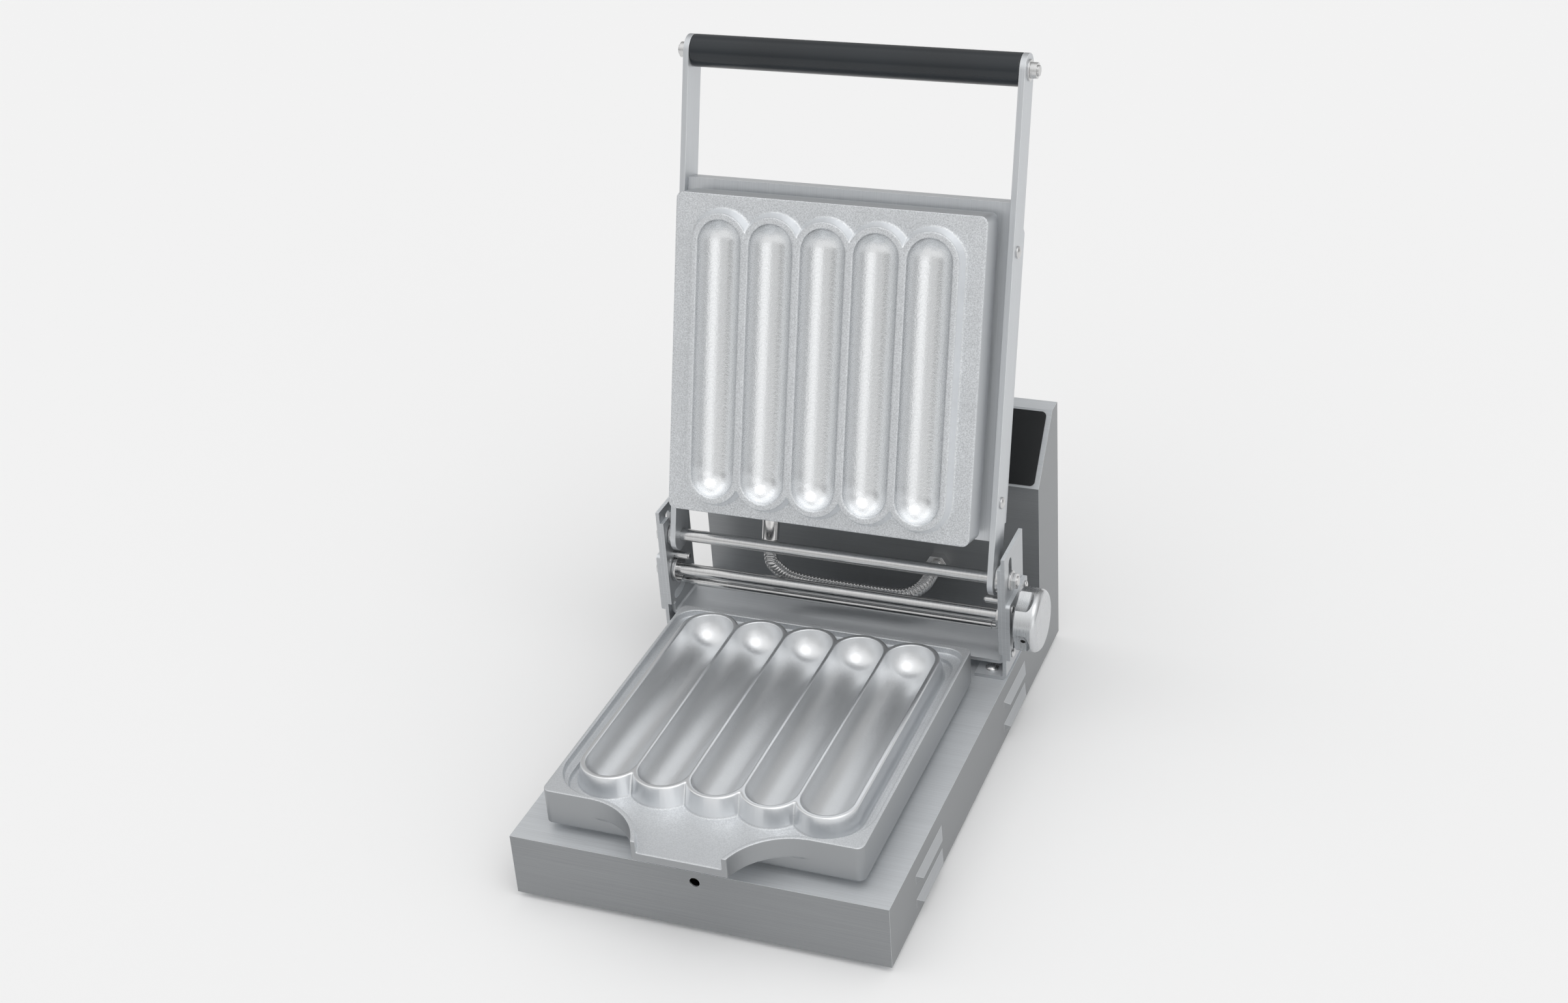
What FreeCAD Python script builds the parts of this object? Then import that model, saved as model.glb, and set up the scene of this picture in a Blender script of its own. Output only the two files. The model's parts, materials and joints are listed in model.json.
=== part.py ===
import FreeCAD, Part
import Sketcher
import math
import os
from types import SimpleNamespace
from FreeCAD import Placement, Rotation, Vector

# Electric stick baker: two hinged cast plates with five half-round cavities, on a sheet-metal base
# with a control tower behind. The lid is modelled upright about its hinge and leans back when open.
# X is to the right, Y to the back and Z up. The origin is on the floor under the middle of the base.

SIZES = {
    # casing
    "base_width": 290,
    "base_depth": 443,
    "base_height": 51,
    "foot_height": 5,
    "foot_radius": 11,
    "foot_inset": 34,
    "sheet_gauge": 1.5,
    "fit_gap": 0.2,
    "tower_depth": 58,
    "tower_wall": 118,
    "panel_length": 65.2,
    "panel_slope": 48.7,
    "front_hole": 8,
    "front_hole_rise": 41.5,
    "rear_lip": 12,
    "sheet_screw": 2,
    "frame_screw": 2.4,
    "frame_screw_head": 5.2,
    # pressed louvres in both side walls
    "louvre_length": 60,
    "louvre_height": 7.2,
    "louvre_reach": 3.2,
    "louvre_slant": 8,
    "louvre_low": 8.2,
    "louvre_step": 21.1,
    "louvre_front": 86.5,
    "louvre_rear": 308.5,
    # hinge stand
    "hinge_reach": 302.5,
    "hinge_height": 83,
    "shaft_drop": 33,
    "bracket_gauge": 3,
    "bracket_depth": 50,
    "bracket_lead": 15.5,
    "bracket_rise": 26.6,
    "bracket_foot": 26,
    "bend_radius": 5,
    "float_travel": 16,
    "channel_lift": 11,
    "channel_rise": 16.8,
    "channel_notch": 6,
    "channel_relief": 12.5,
    "bearing_gauge": 3.5,
    "bearing_height": 52,
    "bearing_drop": 33.3,
    "bearing_screw": 3.2,
    "running_fit": 0.08,
    # lower plate
    "plate_width": 244.6,
    "plate_length": 258,
    "plate_setback": 15,
    "plate_depth": 28.5,
    "plate_corner": 6,
    "platen_rise": 6.8,
    "border": 2.8,
    "moat_depth": 9.7,
    "moat_step": 5.5,
    "moat_ledge": 6,
    "moat_corner": 16,
    "moat_rear": 5,
    "cavity_pitch": 41.7,
    "cavity_radius": 19.5,
    "cavity_span": 181,
    "cavity_setback": 1.7,
    "rim_wall": 3.8,
    "rim_rise": 6.7,
    "rim_draft": 12,
    "spout_reach": 36,
    "spout_half": 36,
    "spout_arc": 50,
    "spout_lip": 3.5,
    "spout_floor": 6.8,
    # heaters
    "platen_width": 220,
    "platen_length": 228,
    "platen_depth": 13,
    "platen_clearance": 3,
    "platen_lip": 4,
    "platen_shelf": 6,
    "element_radius": 4,
    "element_bend": 24,
    "element_inset": 1,
    "post_radius": 5,
    "post_inset": 12,
    "dowel_radius": 3,
    "dowel_rise": 5,
    # lid
    "lid_lean": 16.3,
    "closing_gap": 0.4,
    "closing_lift": 15.2,
    "arm_gauge": 4.5,
    "arm_width": 25,
    "arm_offset": 2,
    "arm_inner": 130.3,
    "handle_reach": 386,
    "handle_radius": 12.5,
    "handle_bolt": 4,
    "upper_width": 246.6,
    "upper_length": 249,
    "upper_depth": 27.8,
    "upper_cavity": 17.7,
    "boss_wall": 4.7,
    "boss_rise": 9.4,
    "boss_draft": 18,
    "tray_front": 8.5,
    "tray_back": 11.5,
    "tray_foot": 9.5,
    "tray_head": 13.3,
    "tray_lip": 9,
    "cover_back": 34,
    "cover_foot": 5,
    "cover_head": 15.8,
    "cover_chamfer": 11,
    "cover_inset": 0.6,
    "arm_screw_head": 4.6,
    "arm_screw_rise": 30,
    "arm_screw_fall": 36.8,
    # hinge rod and lock shaft
    "rod_radius": 5,
    "rod_end_radius": 4,
    "spacer_radius": 11,
    "collar_radius": 11,
    "collar_depth": 3.4,
    "bush_radius": 7,
    "pin_radius": 3,
    "pin_reach": 14.5,
    "pin_drop": 18.5,
    "crank_radius": 22.6,
    "crank_rest": -54.6,
    "crank_swing": 45,
    "crank_gauge": 1.5,
    "crank_eye": 7,
    "push_nut": 1.2,
    "push_nut_radius": 7,
    "tie_radius": 3.25,
    "sleeve_radius": 4,
    "sleeve_half": 126,
    "knob_radius": 25,
    "knob_depth": 18.6,
    "knob_round": 5,
    "flute_radius": 24,
    "flute_depth": 3.8,
    "flute_run": 9.8,
    "flute_end": 8,
    "flute_turn": -23,
    "set_screw_radius": 2,
    "set_screw_back": 7.2,
    # controls
    "overlay_gauge": 0.8,
    "overlay_inset": 4,
    "switch_at": -105,
    "switch_width": 18,
    "switch_height": 26,
    "rocker_radius": 11,
    "rocker_tilt": 10,
    "display_at": -32,
    "display_width": 56,
    "display_height": 24,
    "key_at": 30,
    "key_pitch": 26,
    "key_radius": 6,
    "key_travel": 1.5,
    # power parts on the tower's floor
    "relay_at": 42.5,
    "relay_width": 37,
    "relay_depth": 40,
    "relay_height": 22,
    "relay_foot": 4,
    "relay_flange": 4,
    "strip_at": -60,
    "strip_width": 16,
    "strip_height": 10,
    "terminal_pitch": 10,
    "terminal_gap": 2.5,
    "terminal_width": 10,
    "terminal_rise": 6,
    # flexible conduit between the tower and the lid
    "hose_radius": 5.75,
    "hose_groove": 5.1,
    "hose_bore": 4.3,
    "hose_rib": 3,
    "gland_across": 18,
    "gland_depth": 7,
    "ferrule_radius": 7,
    "ferrule_back": 23,
    "ferrule_at": -62.5,
}

# Route of the conduit's centre line from the ferrule under the lid to the gland on the tower.
# Its two stretches meet halfway between the last point of the first list and the first of the second.
LID_HOSE = [
    (-62.5, 103.1, 132.5), (-62.5, 98.2, 115.6), (-58.5, 103.5, 104.5), (-51.5, 108.0, 96.0),
    (-36.0, 111.0, 91.5), (-6.0, 113.0, 89.3),
]
TOWER_HOSE = [
    (22.0, 113.6, 88.6), (44.0, 112.5, 89.6), (53.4, 117.8, 91.4), (58.8, 126.7, 92.8), (59.7, 137.5, 93.4),
    (59.7, 156.5, 93.4),
]
LOUVRE_ROWS = 2
CAVITIES = range(-2, 3)
SIDES = (-1, 1)
FLUTES = 4
KEYS = 3
TERMINALS = 6
HEAD_COLLAR, HEAD_CROWN = 0.28, 0.42
HEAD_HEIGHT = HEAD_COLLAR + HEAD_CROWN
X_AXIS, Y_AXIS, Z_AXIS = Vector(1, 0, 0), Vector(0, 1, 0), Vector(0, 0, 1)

doc = FreeCAD.newDocument("stick_baker")
sheet = doc.addObject("Spreadsheet::Sheet", "Sizes")
for row, (alias, value) in enumerate(SIZES.items(), start=1):
    sheet.set(f"A{row}", alias)
    sheet.set(f"B{row}", str(value))
    sheet.setAlias(f"B{row}", alias)
doc.recompute()


class Size:
    """A size of the object: the sheet expression that gives it, and its number."""

    def __init__(self, text, number):
        self.text = text
        self.number = number

    def joined(self, sign, other, number):
        return Size(f"({self.text} {sign} {as_size(other).text})", number)

    def __add__(self, other):
        return self.joined("+", other, self.number + as_size(other).number)

    def __sub__(self, other):
        return self.joined("-", other, self.number - as_size(other).number)

    def __mul__(self, other):
        return self.joined("*", other, self.number * as_size(other).number)

    def __truediv__(self, other):
        return self.joined("/", other, self.number / as_size(other).number)

    def __neg__(self):
        return Size(f"(-1 * {self.text})", -self.number)

    def __radd__(self, other):
        return as_size(other) + self

    def __rsub__(self, other):
        return as_size(other) - self

    def __rmul__(self, other):
        return as_size(other) * self


def as_size(value):
    return value if isinstance(value, Size) else Size(repr(float(value)), float(value))


def cosine(angle):
    return Size(f"cos({angle.text})", math.cos(math.radians(angle.number)))


def sine(angle):
    return Size(f"sin({angle.text})", math.sin(math.radians(angle.number)))


def tangent(angle):
    return Size(f"tan({angle.text})", math.tan(math.radians(angle.number)))


def root(value):
    return Size(f"sqrt({value.text})", math.sqrt(value.number))


D = SimpleNamespace(**{alias: Size(f"Sizes.{alias}", float(sheet.get(alias))) for alias in SIZES})

# Levels and faces that several pieces share
half_width = D.base_width / 2
front = D.base_depth / -2
rear = D.base_depth / 2
casing_low = D.foot_height
deck = casing_low + D.base_height
tower_front = rear - D.tower_depth
panel_foot = deck + D.tower_wall
tower_top = panel_foot + D.panel_length * sine(D.panel_slope)
hinge_y = front + D.hinge_reach
hinge_z = deck + D.hinge_height
shaft_z = hinge_z - D.shaft_drop
flange_in = half_width - 2 * D.bracket_gauge
bracket_in = half_width - D.bracket_gauge
bearing_out = half_width + D.bearing_gauge
bracket_front = hinge_y - D.bracket_lead
bracket_rear = bracket_front + D.bracket_depth
plate_low = deck + D.platen_rise
plate_top = plate_low + D.plate_depth
moat_floor = plate_top - D.moat_depth
rim_top = plate_top + D.rim_rise
plate_front = front + D.plate_setback
plate_mid = plate_front + D.plate_length / 2
cavity_mid = plate_mid + D.cavity_setback
boss_reach = hinge_z + D.closing_lift - rim_top - D.closing_gap
face_reach = boss_reach - D.boss_rise
lid_mid = hinge_y - plate_mid
lid_heart = hinge_y - cavity_mid
tray_low = lid_mid - D.platen_length / 2 - D.platen_lip - D.tray_foot
tray_high = lid_mid + D.platen_length / 2 + D.platen_lip + D.tray_head
cover_low = tray_low + D.cover_foot
cover_high = tray_high - D.cover_head
element_reach = D.platen_length / 2 - D.element_bend - D.element_radius - D.element_inset
arm_out = D.arm_inner + D.arm_gauge
crank_y = D.crank_radius * cosine(D.crank_rest)
crank_z = D.crank_radius * sine(D.crank_rest)
crank_in = bearing_out + D.bearing_screw * HEAD_HEIGHT + D.fit_gap
crank_out = crank_in + D.crank_gauge
panel_mid = D.panel_length / 2

LID = SimpleNamespace(base=(0, hinge_y, hinge_z), axis=X_AXIS, angle=-D.lid_lean)
PANEL = SimpleNamespace(base=(0, tower_front, panel_foot), axis=X_AXIS, angle=D.panel_slope)
SHAFT = SimpleNamespace(base=(0, hinge_y, shaft_z), axis=X_AXIS, angle=as_size(0))
nodes = {}


def bind(thing, **values):
    """Ties properties to the sheet; a double underscore stands for the dot in a property's path."""
    for path, value in values.items():
        thing.setExpression(path.replace("__", "."), as_size(value).text)


def place(thing, base, axis=Z_AXIS, angle=0):
    """Puts a shape at a base point, turned about an axis, with every number tied to the sheet."""
    x, y, z = (as_size(value) for value in base)
    turn = as_size(angle)
    thing.Placement = Placement(Vector(x.number, y.number, z.number), Rotation(axis, turn.number))
    bind(thing, Placement__Base__x=x, Placement__Base__y=y, Placement__Base__z=z)
    if isinstance(angle, Size):
        bind(thing, Placement__Rotation__Angle=turn)
    return thing


def box(x, y, z):
    """A block between two values along each axis."""
    block = doc.addObject("Part::Box", "block")
    bind(block, Length=as_size(x[1]) - x[0], Width=as_size(y[1]) - y[0], Height=as_size(z[1]) - z[0])
    return place(block, (x[0], y[0], z[0]))


def rod(axis, span, centre, radius):
    """A cylinder along x, y or z; centre holds its other two coordinates in order."""
    bar = doc.addObject("Part::Cylinder", "bar")
    low, high = (as_size(value) for value in span)
    bind(bar, Radius=radius, Height=high - low)
    first, second = centre
    if axis == "x":
        return place(bar, (low, first, second), Y_AXIS, 90)
    if axis == "y":
        return place(bar, (first, low, second), X_AXIS, -90)
    return place(bar, (first, second, low))


def cone(axis, span, centre, low_radius, high_radius):
    """A truncated cone along y or z; centre holds its other two coordinates in order."""
    taper = doc.addObject("Part::Cone", "taper")
    bind(taper, Radius1=low_radius, Radius2=high_radius, Height=as_size(span[1]) - span[0])
    first, second = centre
    if axis == "y":
        return place(taper, (first, span[0], second), X_AXIS, -90)
    return place(taper, (first, second, span[0]))


def bank(x, halves, y, z):
    """A straight bank along z, with one half-width at its low y and another at its high y."""
    wedge = doc.addObject("Part::Wedge", "bank")
    low, high = halves
    bind(wedge, Xmin=x - low, Xmax=x + low, X2min=x - high, X2max=x + high, Ymin=y[0], Ymax=y[1],
         Zmin=z[0], Zmax=z[1], Z2min=z[0], Z2max=z[1])
    return wedge


def ball(centre, radius):
    sphere = doc.addObject("Part::Sphere", "ball")
    bind(sphere, Radius=radius)
    return place(sphere, centre)


def bulb(centre, reach, radius):
    """A ball flattened along x."""
    oval = doc.addObject("Part::Ellipsoid", "bulb")
    bind(oval, Radius1=reach, Radius2=radius, Radius3=radius)
    return place(oval, centre, Y_AXIS, 90)


def fuse(*shapes):
    joined = doc.addObject("Part::MultiFuse", "joined")
    joined.Shapes = list(shapes)
    joined.Refine = True
    return joined


def cut(base, *tools):
    remainder = doc.addObject("Part::Cut", "remainder")
    remainder.Base = base
    remainder.Tool = tools[0] if len(tools) == 1 else fuse(*tools)
    remainder.Refine = True
    return remainder


def shared(first, second):
    overlap = doc.addObject("Part::Common", "overlap")
    overlap.Base = first
    overlap.Tool = second
    return overlap


def tube(axis, span, centre, outer, inner):
    return cut(rod(axis, span, centre, outer), rod(axis, span, centre, inner))


def node(label, *shapes, frame=None):
    """Names a sub-part; several shapes, or shapes of a tilted frame, are gathered under one placement."""
    if len(shapes) == 1 and frame is None:
        piece = shapes[0]
    else:
        piece = doc.addObject("Part::Compound", "group")
        piece.Links = list(shapes)
        if frame is not None:
            place(piece, frame.base, frame.axis, frame.angle)
    piece.Label = label
    nodes[label] = piece
    return piece


def framed(shape, frame):
    """A copy of a frame's tool in the object's own axes."""
    holder = doc.addObject("Part::Compound", "holder")
    holder.Links = [shape]
    return place(holder, frame.base, frame.axis, frame.angle)


# Outlines: a list of corners, each (x, y) or (x, y, arc centre x, arc centre y, counter-clockwise)
# where the edge that arrives at the corner is an arc.

def rounded(x, y, radius):
    """A rectangle with round corners, counter-clockwise from its lower right."""
    x0, x1, y0, y1 = as_size(x[0]), as_size(x[1]), as_size(y[0]), as_size(y[1])
    return [
        (x1 - radius, y0), (x1, y0 + radius, x1 - radius, y0 + radius, True),
        (x1, y1 - radius), (x1 - radius, y1, x1 - radius, y1 - radius, True),
        (x0 + radius, y1), (x0, y1 - radius, x0 + radius, y1 - radius, True),
        (x0, y0 + radius), (x0 + radius, y0, x0 + radius, y0 + radius, True),
    ]


def upright_slot(x, low, high, radius):
    """A slot along the sketch's y with round ends at the two centre heights."""
    return [
        (x + radius, low), (x + radius, high), (x - radius, high, x, high, True),
        (x - radius, low), (x + radius, low, x, low, True),
    ][:-1] + [("close", x, low, True)]


def arc_slot(radius, start, sweep, half):
    """A slot along an arc about the sketch's origin, from an angle through a clockwise sweep."""
    end = start - sweep
    inner, outer = radius - half, radius + half

    def at(distance, angle):
        return distance * cosine(angle), distance * sine(angle)

    zero = as_size(0)
    return [
        at(outer, end), (*at(outer, start), zero, zero, True),
        (*at(inner, start), *at(radius, start), True),
        (*at(inner, end), zero, zero, False),
        ("close", *at(radius, end), True),
    ]


def arc_between(centre, start, end, turning_left):
    """The circular arc about a centre from one point to another."""
    radius = (start - centre).Length
    circle = Part.Circle(centre, Z_AXIS, radius)
    first, last = (start, end) if turning_left else (end, start)
    return Part.ArcOfCircle(circle, circle.parameter(first), circle.parameter(last))


def hold_point(sketch, geometry, vertex, x, y):
    """Ties one point of a sketch to two sheet values."""
    for kind, value in (("DistanceX", x), ("DistanceY", y)):
        if value is None:
            continue
        value = as_size(value)
        index = sketch.addConstraint(Sketcher.Constraint(kind, -1, 1, geometry, vertex, value.number))
        sketch.setExpression(f"Constraints[{index}]", value.text)


def draw(sketch, outline):
    """Draws a closed outline whose corners and arc centres are tied to the sheet."""
    closing = None
    if outline[-1][0] == "close":
        closing = outline[-1][1:]
        outline = outline[:-1]
    corners = [(as_size(entry[0]), as_size(entry[1])) for entry in outline]
    points = [Vector(x.number, y.number, 0) for x, y in corners]
    ends = []
    for index, start in enumerate(points):
        following = (index + 1) % len(points)
        end = points[following]
        arc = closing if following == 0 else outline[following][2:]
        if not arc:
            geometry = sketch.addGeometry(Part.LineSegment(start, end))
            ends.append((geometry, 1, 2))
            continue
        centre_x, centre_y, turning_left = as_size(arc[0]), as_size(arc[1]), arc[2]
        centre = Vector(centre_x.number, centre_y.number, 0)
        geometry = sketch.addGeometry(arc_between(centre, start, end, turning_left))
        ends.append((geometry, 1, 2) if turning_left else (geometry, 2, 1))
        chord = end - start
        level = abs(chord.x) > abs(chord.y)
        hold_point(sketch, geometry, 3, None if level else centre_x, centre_y if level else None)
    for index, (geometry, first, _) in enumerate(ends):
        before, _, last = ends[index - 1]
        sketch.addConstraint(Sketcher.Constraint("Coincident", before, last, geometry, first))
        hold_point(sketch, geometry, first, *corners[index])


def circle(sketch, x, y, radius):
    x, y, radius = as_size(x), as_size(y), as_size(radius)
    geometry = sketch.addGeometry(Part.Circle(Vector(x.number, y.number, 0), Z_AXIS, radius.number))
    index = sketch.addConstraint(Sketcher.Constraint("Radius", geometry, radius.number))
    sketch.setExpression(f"Constraints[{index}]", radius.text)
    hold_point(sketch, geometry, 3, x, y)


class Blank:
    """A body that grows and loses material between two levels of one of its main planes."""

    def __init__(self, name):
        self.body = doc.addObject("PartDesign::Body", name)

    def sketch(self, plane, level, outlines, circles):
        drawing = self.body.newObject("Sketcher::SketchObject", "outline")
        support = [item for item in self.body.Origin.OriginFeatures if item.Role == f"{plane}_Plane"]
        drawing.AttachmentSupport = [(support[0], "")]
        drawing.MapMode = "FlatFace"
        offset = -as_size(level) if plane == "XZ" else as_size(level)
        drawing.AttachmentOffset = Placement(Vector(0, 0, offset.number), Rotation())
        bind(drawing, AttachmentOffset__Base__z=offset)
        for outline in outlines:
            draw(drawing, outline)
        for x, y, radius in circles:
            circle(drawing, x, y, radius)
        drawing.Visibility = False
        return drawing

    def pad(self, plane, span, outline):
        """Adds material over an outline, between the two levels of span."""
        low, high = as_size(span[0]), as_size(span[1])
        feature = self.body.newObject("PartDesign::Pad", "pad")
        feature.Profile = self.sketch(plane, high if plane == "XZ" else low, [outline], [])
        bind(feature, Length=high - low)
        doc.recompute()
        return feature

    def pocket(self, plane, span, outlines=(), circles=()):
        """Takes away the material over outlines and circles, between the two levels of span."""
        low, high = as_size(span[0]), as_size(span[1])
        before = self.body.Shape.Volume
        feature = self.body.newObject("PartDesign::Pocket", "pocket")
        feature.Profile = self.sketch(plane, low if plane == "XZ" else high, outlines, circles)
        bind(feature, Length=high - low)
        doc.recompute()
        if not self.body.Shape.Volume < before:
            raise RuntimeError(f"a pocket of {self.body.Name} takes nothing away")
        return feature

    def hollow(self, thickness, *open_faces):
        """Leaves a wall inside the faces of the body, open at the faces that the tests pick."""
        tip = self.body.Tip
        names = [
            f"Face{index}" for index, face in enumerate(tip.Shape.Faces, start=1)
            if any(test(face) for test in open_faces)
        ]
        shell = self.body.newObject("PartDesign::Thickness", "wall")
        shell.Base = (tip, names)
        shell.Reversed = True
        shell.Join = 1
        bind(shell, Value=thickness)
        doc.recompute()
        return shell


def facing(direction):
    """A test that picks the flat faces whose outward normal points along a direction."""
    def test(face):
        normal = face.normalAt(0, 0)
        return isinstance(face.Surface, Part.Plane) and (normal - direction).Length < 1e-6
    return test


def side_outline(outline, side):
    """An outline whose x is given outward from the middle, for the right or the left side."""
    mirrored = []
    for entry in outline:
        if len(entry) == 2:
            mirrored.append((side * as_size(entry[0]), entry[1]))
        else:
            x, y, centre_x, centre_y, left = entry
            mirrored.append((side * as_size(x), y, side * as_size(centre_x), centre_y, left == (side > 0)))
    return mirrored


def outward(side, span):
    """The low and high ends of a span that is given outward from the middle."""
    return (span[0], span[1]) if side > 0 else (-as_size(span[1]), -as_size(span[0]))


def pan_screw(axis, seat, centre, out, shank, head_radius, shank_radius):
    """A screw with a domed head; out is the way the head points along its axis."""
    seat = as_size(seat)
    collar = head_radius * HEAD_COLLAR
    crown = head_radius * HEAD_CROWN
    levels = (seat, seat + out * collar, seat + out * (collar + crown), seat - out * shank)
    order = (lambda a, b: (a, b)) if out > 0 else (lambda a, b: (b, a))
    dome_radius = (head_radius * head_radius + crown * crown) / (2 * crown)
    dome_at = levels[2] - out * dome_radius
    centre_at = {"x": (dome_at, *centre), "y": (centre[0], dome_at, centre[1]), "z": (*centre, dome_at)}
    blank = rod(axis, order(levels[0], levels[2]), centre, head_radius)
    head = shared(ball(centre_at[axis], dome_radius), blank)
    return fuse(head, rod(axis, order(levels[3], levels[1]), centre, shank_radius))


def hexagon(axis, span, centre, across, bore):
    """A hexagonal nut with its bore."""
    nut = doc.addObject("Part::Prism", "nut")
    nut.Polygon = 6
    low, high = as_size(span[0]), as_size(span[1])
    bind(nut, Circumradius=across / math.sqrt(3), Height=high - low)
    if axis == "x":
        place(nut, (low, *centre), Y_AXIS, 90)
    elif axis == "y":
        place(nut, (centre[0], low, centre[1]), X_AXIS, -90)
    else:
        place(nut, (*centre, low))
    return cut(nut, rod(axis, span, centre, bore))


# Casing

def louvre(side, middle, low):
    """A slanted hood pressed out of a side wall, open below, and the hollow behind it."""
    half = D.louvre_length / 2
    lip = half - D.louvre_slant

    def slope(start):
        wedge = doc.addObject("Part::Wedge", "slope")
        bind(wedge, Xmin=-half, Xmax=half, X2min=-lip, X2max=lip, Ymin=0, Ymax=D.louvre_reach,
             Zmin=0, Zmax=D.louvre_height, Z2min=0, Z2max=0)
        return place(wedge, (side * start, middle, low), Z_AXIS, side * -90)

    inner_face = half_width - D.sheet_gauge
    return cut(slope(half_width), slope(inner_face)), slope(inner_face)


def panel_openings(depth):
    """The switch, display and key openings, in the slanted panel's own axes."""
    through = (-depth, depth)
    gap = D.fit_gap
    half = D.switch_width / 2
    tall = D.switch_height / 2
    openings = [box((D.switch_at - half - gap, D.switch_at + half + gap),
                    (panel_mid - tall - gap, panel_mid + tall + gap), through)]
    for key in range(KEYS):
        openings.append(rod("z", through, (D.key_at + key * D.key_pitch, panel_mid), D.key_radius + gap))
    return openings


def display_opening(depth, shrink):
    half = D.display_width / 2 - shrink
    tall = D.display_height / 2 - shrink
    return box((D.display_at - half, D.display_at + half), (panel_mid - tall, panel_mid + tall),
               (-depth, depth))


def make_casing():
    wall = D.sheet_gauge
    shell = Blank("housing_shell")
    back = rear - wall
    panel_head = tower_front + D.panel_length * cosine(D.panel_slope)
    profile = [
        (front, casing_low), (back, casing_low), (back, tower_top), (panel_head, tower_top),
        (tower_front, panel_foot), (tower_front, deck), (front, deck),
    ]
    shell.pad("YZ", (-half_width, half_width), profile)
    shell.hollow(wall, facing(-Z_AXIS), facing(Y_AXIS))
    shell.pocket("XZ", (front - wall, front + 2 * wall), circles=[
        (0, casing_low + D.front_hole_rise, D.front_hole / 2)])
    reach = D.platen_width / 2 + D.platen_clearance
    length = D.platen_length / 2 + D.platen_clearance
    shell.pocket("XY", (deck - 2 * wall, deck + wall), [
        rounded((-reach, reach), (plate_mid - length, plate_mid + length), D.plate_corner)])
    gland_x, _, gland_z = TOWER_HOSE[-1]
    shell.pocket("XZ", (tower_front - wall, tower_front + 2 * wall), circles=[
        (gland_x, gland_z, D.ferrule_radius + D.fit_gap)])
    hoods, holes = [], []
    for side in SIDES:
        for middle in (D.louvre_front, D.louvre_rear):
            for step in range(LOUVRE_ROWS):
                hood, hole = louvre(side, front + middle, casing_low + D.louvre_low + step * D.louvre_step)
                hoods.append(hood)
                holes.append(hole)
    lips = [
        box(outward(side, (half_width - wall - D.rear_lip, half_width - wall)), (back - wall, back),
            (casing_low + wall + D.fit_gap, tower_top - wall))
        for side in SIDES
    ]
    tools = [framed(tool, PANEL) for tool in panel_openings(3 * wall)]
    tools.append(framed(display_opening(3 * wall, 2 * wall), PANEL))
    screw_holes = [rod("y", (back - 2 * wall, rear), spot, D.sheet_screw) for spot in rear_screw_spots()]
    node("base_housing", cut(fuse(cut(shell.body, *holes, *tools), *hoods, *lips), *screw_holes))


def rear_screw_spots():
    """Places of the rear panel's screws, on the lips of the side walls."""
    across = half_width - D.sheet_gauge - D.rear_lip / 2
    heights = (casing_low + D.rear_lip * 2, (casing_low + tower_top) / 2, tower_top - D.rear_lip * 2)
    return [(side * across, height) for side in SIDES for height in heights]


INLET_AT = (-90.0, 55.0)
INLET_WIDTH = 27.0
INLET_HEIGHT = 20.0
INLET_FLANGE = 10.0
INLET_PROUD = 2.5
INLET_DEPTH = 22.0
VENTS = 6
VENT_PITCH = 12.0


def inlet_block(grow, y):
    half, tall = INLET_WIDTH / 2 + grow, INLET_HEIGHT / 2 + grow
    return box((INLET_AT[0] - half, INLET_AT[0] + half), y, (INLET_AT[1] - tall, INLET_AT[1] + tall))


def make_rear_panel():
    panel_y = (rear - D.sheet_gauge, rear)
    panel = box((-half_width, half_width), panel_y, (casing_low, tower_top))
    through = (rear - 2 * D.sheet_gauge, rear + D.sheet_gauge)
    holes = [rod("y", through, spot, D.sheet_screw) for spot in rear_screw_spots()]
    holes.append(inlet_block(D.fit_gap, through))
    vent_low = tower_top - 4 * VENT_PITCH
    for vent in range(VENTS):
        across = (vent - (VENTS - 1) / 2) * VENT_PITCH
        holes.append(box((across - 2, across + 2), through, (vent_low, vent_low + 2 * VENT_PITCH)))
    node("rear_panel", cut(panel, *holes))
    screws = [
        pan_screw("y", rear, spot, 1, 4 * D.sheet_gauge, 2 * D.sheet_screw, D.sheet_screw - D.running_fit)
        for spot in rear_screw_spots()
    ]
    node("rear_panel_screws", *screws)
    flange = inlet_block(INLET_FLANGE / 2, (rear, rear + INLET_PROUD))
    body = inlet_block(0, (rear - INLET_DEPTH, rear + INLET_PROUD))
    socket = inlet_block(-2.0, (rear - INLET_DEPTH + 4, rear + 2 * INLET_PROUD))
    pins = [
        rod("y", (rear - INLET_DEPTH + 2, rear - 5), (INLET_AT[0] + step * 7.0, INLET_AT[1] + rise), 1.5)
        for step, rise in ((-1, -2), (0, 3), (1, -2))
    ]
    node("power_inlet", fuse(cut(fuse(flange, body), socket), *pins))


def foot_spots():
    across = half_width - D.foot_inset
    along = rear - D.foot_inset
    return [(side * across, end * along) for side in SIDES for end in SIDES]


def make_underside():
    wall = D.sheet_gauge
    gap = wall + D.fit_gap
    cover = box((-half_width + gap, half_width - gap), (front + gap, rear - gap),
                (casing_low, casing_low + wall))
    shank = D.sheet_screw
    bores = [rod("z", (0, casing_low + 2 * wall), spot, shank + D.running_fit) for spot in foot_spots()]
    node("bottom_cover", cut(cover, *bores))
    feet, screws = [], []
    head = 2 * D.sheet_screw
    for spot in foot_spots():
        pad = cone("z", (0, casing_low), spot, D.foot_radius - wall, D.foot_radius)
        recess = rod("z", (0, casing_low / 2), spot, head + D.fit_gap)
        feet.append(cut(pad, recess, rod("z", (0, casing_low), spot, shank + D.running_fit)))
        screws.append(fuse(
            rod("z", (casing_low / 2 - wall, casing_low / 2), spot, head),
            rod("z", (casing_low / 2 - wall / 2, casing_low + 4 * wall), spot, shank)))
    node("rubber_feet", *feet)
    node("foot_screws", *screws)


# Hinge stand

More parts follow.
